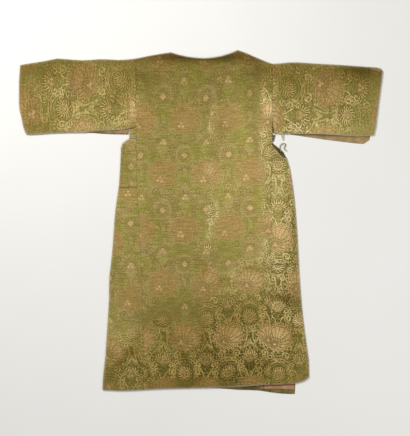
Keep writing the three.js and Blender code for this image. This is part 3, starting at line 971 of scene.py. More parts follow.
# Painted shadow on the back layer where it shows under the front: dark lines under the front's hems
# and edges and in the armhole and slit, with a darker band and a join on the hem lining.
PAINTED_SHADOWS_AND_BANDS_UNDER_FRONT = (
    Patch(300, -602.5, 110, 3.8, -0.90, 2.2),
    Patch(140, -611, 110, 4, -0.55, 2.5),
    Patch(231, -610, 3, 16, -0.45),
    Patch(300, -618, 60, 4, -0.25, -3),
    Patch(-440, 327, 230, 4, -0.45, 1),
    Patch(470, 320, 240, 4, -0.50, -2),
    Patch(292, 262, 30, 30, -0.65, -45),
    Patch(268, 345, 9, 60, -0.80),
)
# Where an edge lies in the shadow of a slit, its pale rim of painted highlight is left out.
SHADED_EDGES = (
    Patch(267, 335, 14, 60, 1.4),
    Patch(-250, 350, 26, 16, 1.2),
    Patch(300, -605, 60, 6, 0.8),
)
# How fresh its figures are: 0 faded, 1 crisp.
FRESHNESS = (
    Patch(48, 410, 14, 45, 0.40),
    Patch(36, 340, 14, 40, 0.36),
    Patch(33, 178, 16, 60, 0.46),
    Patch(44, 20, 24, 75, 0.46),
    Patch(24, -96, 14, 45, 0.46),
    Patch(22, -195, 14, 45, 0.42),
    Patch(250, 300, 26, 260, 0.62),
    Patch(182, -208, 66, 62, 0.54),
    Patch(34, -215, 40, 50, 0.28),
    Patch(-145, -367, 60, 50, 0.16),
    Patch(40, -380, 34, 80, 0.42),
    Patch(315, -150, 66, 420, 0.72),
    Patch(190, -440, 170, 190, 0.75),
    Patch(-30, -505, 180, 95, 0.52),
    Patch(-250, -520, 130, 115, 0.56),
    Patch(-500, 400, 210, 80, 0.45),
    Patch(-270, 420, 40, 100, 0.45),
    Patch(-440, 530, 240, 90, 0.34),
    Patch(370, 390, 140, 90, 0.34),
    Patch(560, 430, 140, 110, 0.26),
    Patch(430, 560, 220, 80, 0.24),
    Patch(120, -590, 320, 42, -0.26),
)
FADED = 0.10  # how fresh it is elsewhere
# How deep the green between the figures is: 0 light, 1 dark.
DEPTH = (
    Patch(200, -470, 190, 190, 0.85),
    Patch(-30, -540, 200, 95, 0.64),
    Patch(-260, -545, 120, 105, 0.58),
    Patch(180, -300, 110, 60, 0.22),
    Patch(-145, -372, 62, 55, 0.42),
    Patch(-137, -425, 24, 40, 0.35),
    Patch(44, -390, 30, 85, 0.45),
    Patch(330, -60, 60, 400, 0.58),
    Patch(280, -250, 40, 120, 0.35),
    Patch(255, 200, 16, 300, 0.36),
    Patch(33, 130, 16, 360, 0.22),
    Patch(-470, 470, 260, 170, 0.42),
    Patch(470, 480, 270, 180, 0.44),
)
LIGHT_GROUND = 0.06  # how deep it is elsewhere
# Brown stains and holes, and painted shadow: dark lines in the underarm creases and in the right
# slit.
STAINS_AND_CREASE_SHADOWS = (
    Patch(333, -285, 34, 30, 0.45, -25),
    Patch(-475, 520, 9, 60, 0.40),
    Patch(-486, 470, 6, 50, 0.35),
    Patch(-445, 505, 34, 50, 0.16),
    Patch(470, 560, 30, 34, 0.16),
    Patch(-362.6, 521.7, 4, 3.5, 1.0),
    Patch(-503, 466, 4, 3, 0.8),
    Patch(-436.6, 514, 4, 3, 0.8),
    Patch(0, 432, 4, 3, 0.8),
    Patch(22, 430, 4, 3, 0.7),
    Patch(-25, -140, 60, 20, 0.12),
    # The rows from here on are painted shadow in creases and in the slit, not stains.
    Patch(254, 324, 14, 2.2, 0.7),
    Patch(238, 242, 26, 2.4, 0.45, -3),
    Patch(196, 157, 34, 3.5, 0.35, -27),
    Patch(244, 163, 22, 3.5, 0.35, 52),
    Patch(-225, 353, 22, 1.8, 0.5, 3),
    Patch(268, 355, 2.5, 40, 0.7),
)
# Small creases, besides the main ones that the solids have.
CREASES = (
    Crease((215, 242), (268, 243), 4, -1.6),
    Crease((258, 246), (281, 224), 4, -1.6),
    Crease((238, 324), (268, 324), 4, -1.4),
    Crease((-242, 352), (-205, 355), 4, -1.2),
    Crease((-478, 590), (-484, 420), 6, -1.6),
    Crease((-462, 585), (-470, 440), 7, 1.0),
    Crease((377, 590), (372, 330), 7, -1.3),
    Crease((505, 570), (512, 330), 8, 1.5),
    Crease((533, 560), (526, 340), 7, -1.2),
    Crease((-340, -420), (-235, -600), 12, -1.4),
    Crease((-300, -380), (-190, -560), 14, 1.1),
    Crease((-230, 300), (-60, 330), 16, 0.8),
    Crease((60, 300), (210, 270), 14, 0.8),
    Crease((70, -300), (240, -330), 16, 0.9),
    Crease((-150, -200), (-20, -240), 18, 0.8),
    Crease((-210, 60), (-90, 40), 12, 0.7),
    Crease((80, 60), (230, 90), 16, 0.8),
    Crease((290, -240), (372, -262), 8, -1.0),
    Crease((-330, 20), (-245, 10), 9, 0.8),
    Crease((60, 560), (200, 520), 18, 0.9),
    Crease((-200, 560), (-80, 520), 18, 0.9),
)
RIPPLE = 0.35  # height of the finest ripples of the front layer, in millimetres
RIPPLES_ACROSS, RIPPLES_UP = 0.011, 0.045  # how many there are to a millimetre


# =============================== Cloth ===============================


class Side(Enum):
    """Which layer a piece belongs to."""

    FRONT = "front"
    BACK = "back"
    FOLDED = "folded"


@dataclass(frozen=True)
class Grain:
    """How the weave lies on a piece: where a palmette's heart is, and which way the warp runs."""

    heart_x: float
    heart_y: float
    turn: float = 0.0
    widen: float = 1.0
    lengthen: float = 1.0
    rise: float = 11.0  # how much higher the weave lies on the right of an upright piece
    rise_from: Place = (20.0, 190.0)  # where that starts and is whole
    stretch: float = 0.2  # how much it is stretched at the shoulders
    stretch_from: float = 400.0  # and above which height

    def cloth_map(self, points: np.ndarray) -> np.ndarray:
        """The place in the cloth of each point.

        Args:
            points: Points in metres, one row each.

        Returns:
            Place along the weft and the warp, in metres, with a heart at 0, 0.
        """
        x, y = points[:, 0] / MM - self.heart_x, points[:, 1] / MM - self.heart_y
        angle = math.radians(self.turn)
        weft = (x * math.cos(angle) + y * math.sin(angle)) / self.widen
        warp = (y * math.cos(angle) - x * math.sin(angle)) / self.lengthen
        if self.turn == 0:
            warp = warp - self.rise * ease(points[:, 0] / MM, *self.rise_from)
            warp = warp - self.stretch * np.maximum(points[:, 1] / MM - self.stretch_from, 0.0)
        return np.stack([weft, warp], axis=1) * MM


@dataclass(frozen=True)
class Cut:
    """One piece that is cut and sewn, with its size as cut."""

    node: str
    piece: str
    slot: str
    side: Side
    flat: Place  # its sides, in metres
    area: float  # in square metres
    cuts: int  # how often each edge of its solid is divided
    grain: Grain = Grain(7.0, -246.8)
    finish: Finish = Finish.SILK
    reverse: Finish = Finish.REVERSE
    rests_on: str = "table"


@dataclass(frozen=True)
class EdgeHighlightAndWear:
    """How strongly edges get painted highlight, seam lines and sinking, and how far from them, in
    millimetres.
    """

    # hem and fold: the pale rim along hems and folds, painted highlight on the rounded, rubbed
    # edges.
    hem: float = 0.80
    hem_reach: float = 2.8
    back_hem_more: float = 1.6
    fold: float = 0.75
    fold_reach: float = 3.2
    seam: float = -0.05
    seam_reach: float = 2.6
    piecing: float = 0.30
    piecing_reach: float = 2.4
    seam_sunk: float = 0.14
    seam_sunk_reach: float = 5.0
    hem_sunk: float = 0.35
    hem_sunk_reach: float = 3.0
    fold_firm: Place = (3.0, 30.0)  # creases start this far from a fold, and are whole there


EDGE_HIGHLIGHT_AND_WEAR = EdgeHighlightAndWear()


@dataclass
class Edges:
    """Points along a piece's edges, in metres, by what happens there."""

    hem: np.ndarray
    seam: np.ndarray
    piecing: np.ndarray
    fold: np.ndarray


def near(points: np.ndarray, to: np.ndarray) -> np.ndarray:
    """How far each point is from the nearest of some others, or 1 m where there are none.

    Args:
        points: The points.
        to: The others.

    Returns:
        The distances, in metres.
    """
    if len(to) == 0:
        return np.ones(len(points))
    tree = KDTree(len(to))
    for index, point in enumerate(to):
        tree.insert(point, index)
    tree.balance()
    return np.array([tree.find(point)[2] for point in points])


class ClothPiece:
    """A piece of cloth: its solid made finer, creased, mapped with the weave, marked and given
    painted light and shade.
    """

    def __init__(self, cut: Cut, node: bpy.types.Object) -> None:
        """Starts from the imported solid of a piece.

        Args:
            cut: What the piece is.
            node: Its solid.
        """
        self.cut = cut
        self.mesh = bmesh.new()
        self.mesh.from_mesh(node.data)
        bmesh.ops.remove_doubles(self.mesh, verts=self.mesh.verts, dist=1e-6)
        bmesh.ops.recalc_face_normals(self.mesh, faces=self.mesh.faces)
        self.rim, self.level = self._rim_points()

    def _rim_points(self) -> tuple[np.ndarray, np.ndarray]:
        """Points along the sharp edges of the solid, and whether each edge runs across.

        Returns:
            The points, one row each, and for each whether its edge is level.
        """
        found: list[np.ndarray] = []
        level: list[bool] = []
        for edge in self.mesh.edges:
            if edge.calc_face_angle(0.0) > SHARP:
                start, end = (np.array(v.co) for v in edge.verts)
                steps = max(2, math.ceil(edge.calc_length() / EDGE_STEP))
                found += [start + (end - start) * i / steps for i in range(steps + 1)]
                level += [abs(end[0] - start[0]) > LEVEL * edge.calc_length()] * (steps + 1)
        return np.array(found).reshape(-1, 3), np.array(level, bool)

    def edges(self, others: Sequence["ClothPiece"]) -> Edges:
        """Sorts the piece's edges.

        Args:
            others: The other pieces, to find what is sewn to what.

        Returns:
            The hems, seams and folds.
        """
        beside = [near(self.rim, piece.rim) for piece in others]
        sewn = np.min(beside, axis=0) < SEAM_REACH
        height = np.array([v.co.z for v in self.mesh.verts])
        folds = np.array([v.co for v in self.mesh.verts])
        if self.cut.side is Side.FOLDED:
            folds = folds[np.abs(height - FOLD_HEIGHT) < FOLD_SLACK]
        else:
            folds = folds[:0]
        level = self.level
        return Edges(
            self.rim[~sewn], self.rim[sewn & ~level], self.rim[sewn & level], self._filled(folds)
        )

    @staticmethod
    def _filled(points: np.ndarray) -> np.ndarray:
        """Fold points with more put between them, so that none are far apart.

        Args:
            points: The points of a fold.

        Returns:
            The fuller line of points.
        """
        if len(points) < 2:
            return points
        # Folds run upwards, or to the right where they are level.
        line = points[np.argsort(points[:, 1] + points[:, 0] * 0.3)]
        shares = np.linspace(0, 1, FOLD_FILL, endpoint=False)[:, None, None]
        return (line[:-1] * (1 - shares) + line[1:] * shares).reshape(-1, 3)

    def build(self, others: Sequence["ClothPiece"], dyer: Dyer) -> bpy.types.Object:
        """Makes the finished piece.

        Args:
            others: The other pieces.
            dyer: Gives the materials.

        Returns:
            The object, riding on the body in place of its solid.
        """
        edges = self.edges(others)
        bmesh.ops.subdivide_edges(
            self.mesh, edges=self.mesh.edges, cuts=self.cut.cuts, use_grid_fill=True
        )
        bmesh.ops.triangulate(self.mesh, faces=[f for f in self.mesh.faces if len(f.verts) > 3])
        data = bpy.data.meshes.new(self.cut.piece)
        self.mesh.normal_update()
        outside = np.array([self._is_outside(face) for face in self.mesh.faces])
        self.mesh.to_mesh(data)
        self.mesh.free()
        points = np.zeros(len(data.vertices) * 3)
        data.vertices.foreach_get("co", points)
        points = points.reshape(-1, 3)
        self._keep_marks_and_painted_light(data, points, edges)
        self._map_cloth(data, points)
        self._crease(data, points, edges)
        data.materials.append(dyer.material(self.cut.finish))
        data.materials.append(dyer.material(self.cut.reverse))
        silk = self.cut.finish is Finish.SILK
        data.polygons.foreach_set("material_index", np.where(outside | (not silk), 0, 1))
        data.shade_smooth()
        data.set_sharp_from_angle(angle=SHARP)
        piece = placed(self.cut.piece, data)
        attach(piece, BODY)
        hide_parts(self.cut.node)
        LOG.info("%s: %d triangles", piece.name, len(data.polygons))
        return piece

    def _is_outside(self, face: bmesh.types.BMFace) -> bool:
        """Whether a face shows the right side of the cloth.

        Args:
            face: A face of the piece.

        Returns:
            True on the right side and along the edges.
        """
        up = face.normal.z
        if self.cut.side is Side.FRONT:
            return up > -STEEP
        if self.cut.side is Side.BACK:
            return up < STEEP
        middle = face.calc_center_median().z
        return (middle - FOLD_HEIGHT) * up > -1e-5

    def _upper(self, points: np.ndarray) -> np.ndarray:
        """1 on the front layer and 0 on the back one.

        Args:
            points: Points of the piece.

        Returns:
            The share at each point.
        """
        if self.cut.side is Side.FRONT:
            return np.ones(len(points))
        if self.cut.side is Side.BACK:
            return np.zeros(len(points))
        return (points[:, 2] > FOLD_HEIGHT).astype(float)

    def _from(self, points: np.ndarray, to: np.ndarray) -> np.ndarray:
        """How far each point is from some edge points of its own layer, in millimetres.

        Args:
            points: Points of the piece.
            to: Points along its edges.

        Returns:
            The distances.
        """
        if self.cut.side is not Side.FOLDED:
            return near(points, to) / MM
        upper = self._upper(points) > 0.5
        high = to[:, 2] > FOLD_HEIGHT
        away = np.zeros(len(points))
        away[upper] = near(points[upper], to[high])
        away[~upper] = near(points[~upper], to[~high])
        return away / MM

    def _keep_marks_and_painted_light(self, data: bpy.types.Mesh, points: np.ndarray, edges: Edges) -> None:
        """Keeps at each point the painted light and shade, freshness, depth, stains, painted edge
        rim and seams.

        Args:
            data: The piece's mesh.
            points: Its points, in metres.
            edges: Its edges.
        """
        x, y = points[:, 0] / MM, points[:, 1] / MM
        upper = self._upper(points)
        hem, fold = self._from(points, edges.hem), near(points, edges.fold) / MM
        seam, piecing = self._from(points, edges.seam), self._from(points, edges.piecing)
        # The pale rim along hems and folds is painted highlight on rubbed edges; it is wider on the
        # back layer.
        hem_reach = EDGE_HIGHLIGHT_AND_WEAR.hem_reach + EDGE_HIGHLIGHT_AND_WEAR.back_hem_more * (1 - upper)
        rim_highlight_and_wear = np.maximum(EDGE_HIGHLIGHT_AND_WEAR.hem * fade(hem, hem_reach), EDGE_HIGHLIGHT_AND_WEAR.fold * fade(fold, EDGE_HIGHLIGHT_AND_WEAR.fold_reach))
        # Painted shadow on the back layer where it shows under the front.
        under = (1 - upper) * total(PAINTED_SHADOWS_AND_BANDS_UNDER_FRONT, x, y)
        # The first kept value is painted light and shade, with the fading; 0.5 is its mean.
        kept = {
            "painted_shade_and_fading": 0.5 * (1.0 + upper * total(PAINTED_SHADE_AND_FADING, x, y) + under),
            "fresh": np.clip(FADED + total(FRESHNESS, x, y), 0.0, 1.0),
            "deep": np.clip(LIGHT_GROUND + total(DEPTH, x, y), 0.0, 1.0),
            "stain_and_crease_shadow": np.clip(upper * total(STAINS_AND_CREASE_SHADOWS, x, y), 0.0, 1.0),
            "edge_highlight_and_wear": rim_highlight_and_wear * (1 - np.clip(total(SHADED_EDGES, x, y), 0.0, 1.0)),
            "seam": np.maximum(
                EDGE_HIGHLIGHT_AND_WEAR.seam * fade(seam, EDGE_HIGHLIGHT_AND_WEAR.seam_reach),
                EDGE_HIGHLIGHT_AND_WEAR.piecing * fade(piecing, EDGE_HIGHLIGHT_AND_WEAR.piecing_reach),
            ),
        }
        for name, values in kept.items():
            layer = data.attributes.new(name, "FLOAT", "POINT")
            layer.data.foreach_set("value", values.astype(np.float32))

    @staticmethod
    def _to_neighbour(data: bpy.types.Mesh, seam: np.ndarray) -> np.ndarray:
        """The small move that brings sewn edges together.

        Args:
            data: The piece's mesh.
            seam: How far each point is from a seam, in millimetres.

        Returns:
            A move in x and y for each point, in metres.
        """
        normals = np.zeros(len(data.vertices) * 3)
        data.vertex_normals.foreach_get("vector", normals)
        out = normals.reshape(-1, 3)[:, :2]
        size = np.linalg.norm(out, axis=1, keepdims=True)
        edge = (size[:, 0] > STEEP) & (seam < AT_SEAM)
        return np.where(edge[:, None], out / np.maximum(size, 1e-6) * SEAM_CLOSE, 0.0)

    def _map_cloth(self, data: bpy.types.Mesh, points: np.ndarray) -> None:
        """Lays the weave on the piece.

        Args:
            data: The piece's mesh.
            points: Its points, in metres.
        """
        corners = np.zeros(len(data.loops), np.int32)
        data.loops.foreach_get("vertex_index", corners)
        cloth = self.cut.grain.cloth_map(points)[corners]
        layer = data.uv_layers.new(name="cloth")
        layer.data.foreach_set("uv", cloth.astype(np.float32).ravel())

    def _crease(self, data: bpy.types.Mesh, points: np.ndarray, edges: Edges) -> None:
        """Moves the front layer by its small creases, and draws the seams down.

        Args:
            data: The piece's mesh.
            points: Its points, in metres.
            edges: Its edges.
        """
        x, y = points[:, 0] / MM, points[:, 1] / MM
        fold, hem = near(points, edges.fold) / MM, self._from(points, edges.hem)
        seam = np.minimum(self._from(points, edges.seam), self._from(points, edges.piecing))
        free = self._upper(points) * ease(fold, *EDGE_HIGHLIGHT_AND_WEAR.fold_firm)
        spots = zip(x * RIPPLES_ACROSS, y * RIPPLES_UP)
        ripple = np.array([noise.noise(Vector((*spot, 0.3))) for spot in spots])
        rise = total(CREASES, x, y) + RIPPLE * ripple
        sunk = EDGE_HIGHLIGHT_AND_WEAR.seam_sunk * fade(seam, EDGE_HIGHLIGHT_AND_WEAR.seam_sunk_reach)
        sunk = sunk + EDGE_HIGHLIGHT_AND_WEAR.hem_sunk * fade(hem, EDGE_HIGHLIGHT_AND_WEAR.hem_sunk_reach)
        moved = points.copy()
        moved[:, 2] += free * (rise - sunk) * MM
        moved[:, :2] += self._to_neighbour(data, seam)
        data.vertices.foreach_set("co", moved.ravel())
        data.update()


CUTS = (
    Cut("front_panel", "front", "figured_silk", Side.FRONT, (0.505, 1.258), 0.600, 6),
    Cut("back_panel", "back", "figured_silk", Side.BACK, (0.505, 1.273), 0.602, 4),
    Cut("sleeve_left", "left_sleeve", "figured_silk", Side.FOLDED, (0.434, 0.56), 0.229, 6,
        Grain(-412.5, 504.0, 90.0, 1.28, 1.06), reverse=Finish.SLEEVE_REVERSE),
    Cut("sleeve_right", "right_sleeve", "figured_silk", Side.FOLDED, (0.408, 0.60), 0.207, 6,
        Grain(444.0, 512.8, -90.0, 1.28, 1.08), reverse=Finish.SLEEVE_REVERSE),
    Cut("gore_left_upper", "left_gore_top", "gore_silk", Side.FOLDED, (0.135, 0.182), 0.0213, 6,
        Grain(-272.0, 318.0)),
    Cut("gore_left_lower", "left_gore", "gore_silk", Side.FOLDED, (0.305, 0.752), 0.176, 6,
        Grain(-272.0, -298.6)),
    Cut("gore_right_upper", "right_gore_top", "gore_silk", Side.FOLDED, (0.206, 0.45), 0.0708, 6,
        Grain(273.8, -94.4)),
    Cut("gore_right_lower", "right_gore", "gore_silk", Side.FOLDED, (0.284, 0.48), 0.110, 6,
        Grain(272.0, -462.0)),
    Cut("gusset_left", "left_gusset", "gore_silk", Side.FOLDED, (0.053, 0.041), 0.0019, 5,
        Grain(-290.0, 400.0)),
    Cut("hem_lining", "hem_lining_silk", "lining", Side.BACK, (0.125, 0.06), 0.0071, 7,
        finish=Finish.LINING, rests_on="back"),
    Cut("armhole_lining", "armhole_scrap", "lining", Side.BACK, (0.026, 0.025), 0.0005, 3,
        finish=Finish.SCRAP, rests_on="back"),
    Cut("tape_end", "linen_tape_end", "tape", Side.BACK, (0.02, 0.044), 0.0005, 3,
        finish=Finish.LINEN, rests_on="right_sleeve"),
)


class Garment:
    """All the pieces of cloth, sewn together."""

    def __init__(self, frame: dict[str, Any], dyer: Dyer) -> None:
        """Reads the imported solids.

        Args:
            dyer: Gives the materials.
        """
        self.dyer = dyer
        self.pieces = [ClothPiece(cut, frame["nodes"][cut.node]) for cut in CUTS]
        self.objects: dict[str, bpy.types.Object] = {}

    def build(self) -> None:
        for piece in self.pieces:
            others = [other for other in self.pieces if other is not piece]
            self.objects[piece.cut.piece] = piece.build(others, self.dyer)
        for piece in self.pieces:
            cut = piece.cut
            rests = [] if cut.rests_on == "table" else [cut.rests_on]


# =============================== The loop of tape ===============================


@dataclass
class LoopTape:
    """A narrow tape that is sewn to the right gore, loops over and lies on the table."""

    width: float = 4.0 * MM
    steps: int = 5
    route: tuple[tuple[float, float, float], ...] = (
        (296.5, 261.5, 3.9),
        (295.5, 266.5, 3.9),
        (292.5, 273.0, 2.6),
        (293.5, 281.0, 2.1),
        (299.5, 288.5, 2.1),
        (307.5, 291.0, 2.1),
        (313.5, 287.5, 2.1),
        (311.5, 281.0, 2.1),
        (308.2, 274.5, 2.1),
        (310.5, 268.5, 2.1),
        (317.0, 263.0, 2.1),
    )

    def line(self) -> np.ndarray:
        """Points along the route's smooth curve, in metres.

        Returns:
            The points, one row each.
        """
        points = np.array(self.route) * MM
        padded = np.vstack([2 * points[0] - points[1], points, 2 * points[-1] - points[-2]])
        found = []
        for before, start, end, after in zip(padded, padded[1:], padded[2:], padded[3:]):
            slope = end - before
            bend = 2 * before - 5 * start + 4 * end - after
            twist = 3 * start - before - 3 * end + after
            for t in np.arange(self.steps) / self.steps:
                found.append(0.5 * (2 * start + slope * t + bend * t**2 + twist * t**3))
        return np.vstack([found, points[-1]])

    def build(self, dyer: Dyer) -> bpy.types.Object:
        """Makes the tape as a cord in place of its solid.

        Args:
            dyer: Gives the materials.

        Returns:
            The tape.
        """
        line = self.line()
        curve = bpy.data.curves.new("tape_loop", "CURVE")
        curve.dimensions = "3D"
        curve.bevel_depth = self.width / 2
        curve.bevel_resolution = 3
        curve.use_fill_caps = True
        spline = curve.splines.new("POLY")
        spline.points.add(len(line) - 1)
        for point, place in zip(spline.points, line):
            point.co = (*place, 1.0)
        curve.materials.append(dyer.material(Finish.LOOP))
        tape = placed("tape_loop", curve)
        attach(tape, BODY)
        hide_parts("loop_tape")
        length = float(np.linalg.norm(np.diff(line, axis=0), axis=1).sum())
        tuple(line[0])
        LOG.info("%s: %.0f mm long", tape.name, length / MM)
        return tape


# =============================== Stitches ===============================


@dataclass(frozen=True)
class Row:
    """A row of stitches on the front: the places it passes, in millimetres."""

    places: tuple[Place, ...]

    def points(self, step: float = 4.0) -> np.ndarray:
        """Points along the row, a few millimetres apart.

        Args:
            step: About how far apart they are, in millimetres.

        Returns:
            The points, one row each.
        """
        found = []
        for start, end in zip(self.places, self.places[1:]):
            count = max(1, round(math.dist(start, end) / step))
            found += [np.add(start, np.subtract(end, start) * i / count) for i in range(count)]
        return np.array([*found, self.places[-1]])


HEM_ROWS = (
    Row(((-108, 620), (-78, 611), (-33, 603), (11, 600), (56, 604), (100, 614), (134, 628))),
    Row(((-663, 584), (-667, 525), (-667, 425), (-661, 400), (-652, 355), (-645, 333))),
    Row(((664, 578), (667, 558), (652, 440), (641, 355), (636, 328))),
    Row(((-640, 330), (-560, 335), (-411, 338), (-352, 345), (-285, 349))),
    Row(((274, 333), (303, 331), (431, 331), (533, 325), (594, 322), (634, 328))),
    Row(((-357, -614), (-300, -618), (-213, -615), (15, -608), (144, -603), (240, -597))),
    Row(((268, -596), (329, -594), (352, -590), (377, -583), (389, -576))),
)
JOIN_ROWS = (
    Row(((-300, 127.3), (-242, 127.3))),
    Row(((264, -157.3), (358, -157.3))),
    Row(((-262, 309), (-243, 309))),
)


@dataclass
class Stitching:
    """Rows of small stitches: running ones along the hems, slanting ones over the joins."""

    pitch: float = 5.6 * MM
    length: float = 3.0 * MM
    thick: float = 0.55 * MM
    above: float = 0.12 * MM  # how high its middle lies over the cloth
    stray: float = 0.22  # how far it may turn out of its row
    seed: int = 7

    def tree(self) -> tuple[bpy.types.NodeTree, dict[str, str]]:
        """Makes the node tree that lays stitches along a line.

        Returns:
            The tree, and the identifier of each of its inputs by name.
        """
        group = bpy.data.node_groups.new("stitches_along_a_row", "GeometryNodeTree")
        face = group.interface
        face.new_socket("Rows", in_out="INPUT", socket_type="NodeSocketGeometry")
        for name in ("Pitch", "Length", "Thickness", "Slant", "Stray"):
            face.new_socket(name, in_out="INPUT", socket_type="NodeSocketFloat")
        face.new_socket("Seed", in_out="INPUT", socket_type="NodeSocketInt")
        face.new_socket("Thread", in_out="INPUT", socket_type="NodeSocketMaterial")
        face.new_socket("Stitches", in_out="OUTPUT", socket_type="NodeSocketGeometry")
        names = {
            item.name: item.identifier
            for item in face.items_tree
            if item.item_type == "SOCKET" and item.in_out == "INPUT"
        }
        tree = NodeTree(group)
        node, out = tree.node, tree.out
        inputs = node("NodeGroupInput")
        given = {name: out(inputs, name) for name in names}
        rows = node("GeometryNodeMeshToCurve", None, {0: given["Rows"]})
        even = node(
            "GeometryNodeResampleCurve",
            {"mode": "LENGTH"},
            {"Curve": out(rows), "Length": given["Pitch"]},
        )
        ball = node("GeometryNodeMeshIcoSphere", None, {"Radius": 0.5, "Subdivisions": 1})
        shape = tree.vector(given["Length"], given["Thickness"], given["Thickness"])
        stitch = node("GeometryNodeTransform", None, {"Geometry": out(ball), "Scale": shape})
        along = out(node("GeometryNodeInputTangent"))
        aligned = node("FunctionNodeAlignRotationToVector", {"axis": "X"}, {"Vector": along})
        chance = node(
            "FunctionNodeRandomValue",
            {"data_type": "FLOAT"},
            {
                2: given["Slant"] - given["Stray"],
                3: given["Slant"] + given["Stray"],
                "Seed": given["Seed"],
            },
        )
        turn = tree.vector(0.0, 0.0, out(chance, 1))
        turned = node("FunctionNodeEulerToRotation", None, {0: turn})
        rotation = node(
            "FunctionNodeRotateRotation",
            {"rotation_space": "LOCAL"},
            {0: out(aligned), 1: out(turned)},
        )
        laid = node(
            "GeometryNodeInstanceOnPoints",
            None,
            {"Points": out(even), "Instance": out(stitch), "Rotation": out(rotation)},
        )
        real = node("GeometryNodeRealizeInstances", None, {0: out(laid)})
        dressed = node(
            "GeometryNodeSetMaterial", None, {"Geometry": out(real), "Material": given["Thread"]}
        )
        node("NodeGroupOutput", None, {0: out(dressed)})
        return group, names

    def _rows_mesh(self, name: str, rows: Sequence[Row], cloth: BVHTree) -> bpy.types.Mesh:
        """The rows as lines of edges that lie on the cloth, looked for from above it.

        Args:
            name: The mesh's name.
            rows: The rows.
            cloth: All the cloth, for finding how high it lies.

        Returns:
            The mesh.
        """
        places: list[tuple[float, float, float]] = []
        edges: list[tuple[int, int]] = []
        for row in rows:
            before = -1
            for x, y in row.points() * MM:
                hit = cloth.ray_cast(Vector((x, y, 0.1)), Vector((0, 0, -1)))[0]
                hit = hit or cloth.find_nearest(Vector((x, y, 2 * FOLD_HEIGHT)))[0]
                places.append((x, y, hit.z + self.above))
                if before >= 0:
                    edges.append((before, len(places) - 1))
                before = len(places) - 1
        data = bpy.data.meshes.new(name)
        data.from_pydata(places, edges, [])
        return data

    def build(self, pieces: Sequence[bpy.types.Object], dyer: Dyer) -> list[bpy.types.Object]:
        """Lays the stitches on the cloth.

        Args:
            pieces: The pieces of cloth.
            dyer: Gives the materials.

        Returns:
            The stitches of the hems and those of the joins.
        """
        places: list[Vector] = []
        faces: list[tuple[int, ...]] = []
        for piece in pieces:
            first = len(places)
            places += [v.co.copy() for v in piece.data.vertices]
            faces += [tuple(first + i for i in face.vertices) for face in piece.data.polygons]
        cloth = BVHTree.FromPolygons(places, faces)
        group, names = self.tree()
        thread = dyer.material(Finish.THREAD)
        made = []
        for name, rows, slant in (
            ("hem_stitches", HEM_ROWS, 0.0),
            ("join_stitches", JOIN_ROWS, 1.0),
        ):
            stitches = placed(name, self._rows_mesh(name, rows, cloth))
            laid = stitches.modifiers.new("rows", "NODES")
            laid.node_group = group
            sizes = {
                "Pitch": self.pitch,
                "Length": self.length,
                "Thickness": self.thick,
                "Slant": slant,
                "Stray": self.stray,
                "Seed": self.seed,
                "Thread": thread,
            }
            for size, value in sizes.items():
                laid[names[size]] = value
            graph = bpy.context.evaluated_depsgraph_get()
            plain = bpy.data.meshes.new_from_object(stitches.evaluated_get(graph), depsgraph=graph)
            stitches.modifiers.clear()
            stitches.data = plain
            plain.shade_smooth()
            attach(stitches, BODY)
            LOG.info("%s: %d faces", name, len(plain.polygons))
            made.append(stitches)
        return made


# =============================== The studio ===============================


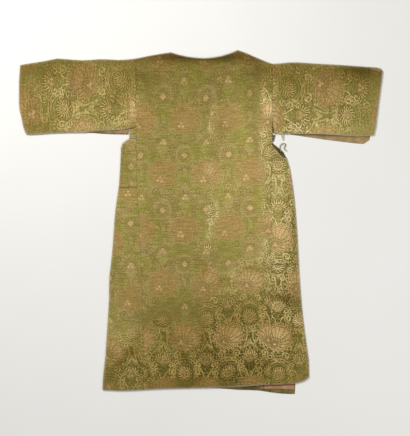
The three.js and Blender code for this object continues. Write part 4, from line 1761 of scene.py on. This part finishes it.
@dataclass
class Studio:
    """The table, the light and the camera that looks straight down."""

    pixel: float = 3.7 * MM  # how much of the cloth one pixel of the picture shows
    height_px: int = 436
    centre_x: float = 14.8 * MM
    centre_y: float = 14.8 * MM
    cloth_height: float = 4 * MM
    lens: float = 85.0  # in millimetres, as is the sensor
    sensor: float = 36.0
    table_half: float = 9.0
    table_drop: float = 0.3 * MM  # how far the table is below the cloth
    room_light: float = 0.35

    def camera(self) -> None:
        """Makes the camera."""
        data = bpy.data.cameras.new("camera")
        data.lens = self.lens
        data.sensor_width = self.sensor
        reach = self.height_px * self.pixel * self.lens / self.sensor
        camera = placed("camera", data)
        camera.location = (self.centre_x, self.centre_y, reach + self.cloth_height)
        bpy.context.scene.camera = camera

    def light(self, name: str, place: Vector, size: float, power: float) -> None:
        """Makes a square soft light that looks at the garment's middle.

        Args:
            name: Its name.
            place: Where it stands.
            size: Its width, in metres.
            power: Its power, in watts.
        """
        data = bpy.data.lights.new(name, "AREA")
        data.size = size
        data.energy = power
        lamp = placed(name, data)
        lamp.location = place
        lamp.rotation_mode = "QUATERNION"
        lamp.rotation_quaternion = (-place).to_track_quat("-Z", "Y")

    def build(self) -> None:
        """Makes the floor, the lights and the plain surroundings."""
        mesh = bmesh.new()
        bmesh.ops.create_grid(mesh, x_segments=2, y_segments=2, size=self.table_half)
        bmesh.ops.translate(mesh, verts=mesh.verts, vec=(0, 0, -self.table_drop))
        data = bpy.data.meshes.new("table")
        mesh.to_mesh(data)
        mesh.free()
        sheet = NodeSheet("table_top")
        place = sheet.out(sheet.node("ShaderNodeTexCoord"), "Object")
        tone = sheet.cloud(place, 2.0)
        colour = sheet.mix(tone, srgb(226, 224, 219), srgb(233, 231, 227))
        data.materials.append(sheet.finish(colour, 0.9, tone, 0.01 * MM, 0.0))
        placed("table", data)
        self.light("key", Vector((-1.6, 2.0, 2.4)), 1.2, 95.0)
        self.light("fill", Vector((1.8, -1.2, 2.6)), 2.0, 40.0)
        world = bpy.data.worlds.new("room")
        world.use_nodes = True
        background = world.node_tree.nodes["Background"]
        background.inputs[0].default_value = (1.0, 1.0, 1.0, 1.0)
        background.inputs[1].default_value = self.room_light
        bpy.context.scene.world = world
        bpy.context.scene.view_settings.view_transform = "Standard"


def main() -> None:
    """Builds the garment and its surroundings, piece by piece."""
    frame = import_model()
    studio = Studio()
    dyer = Dyer()
    studio.camera()
    LoopTape().build(dyer)
    garment = Garment(frame, dyer)
    garment.build()
    Stitching().build(list(garment.objects.values()), dyer)
    studio.build()


if __name__ == "__main__":
    logging.basicConfig(level=logging.INFO, format="%(name)s: %(message)s")
    main()
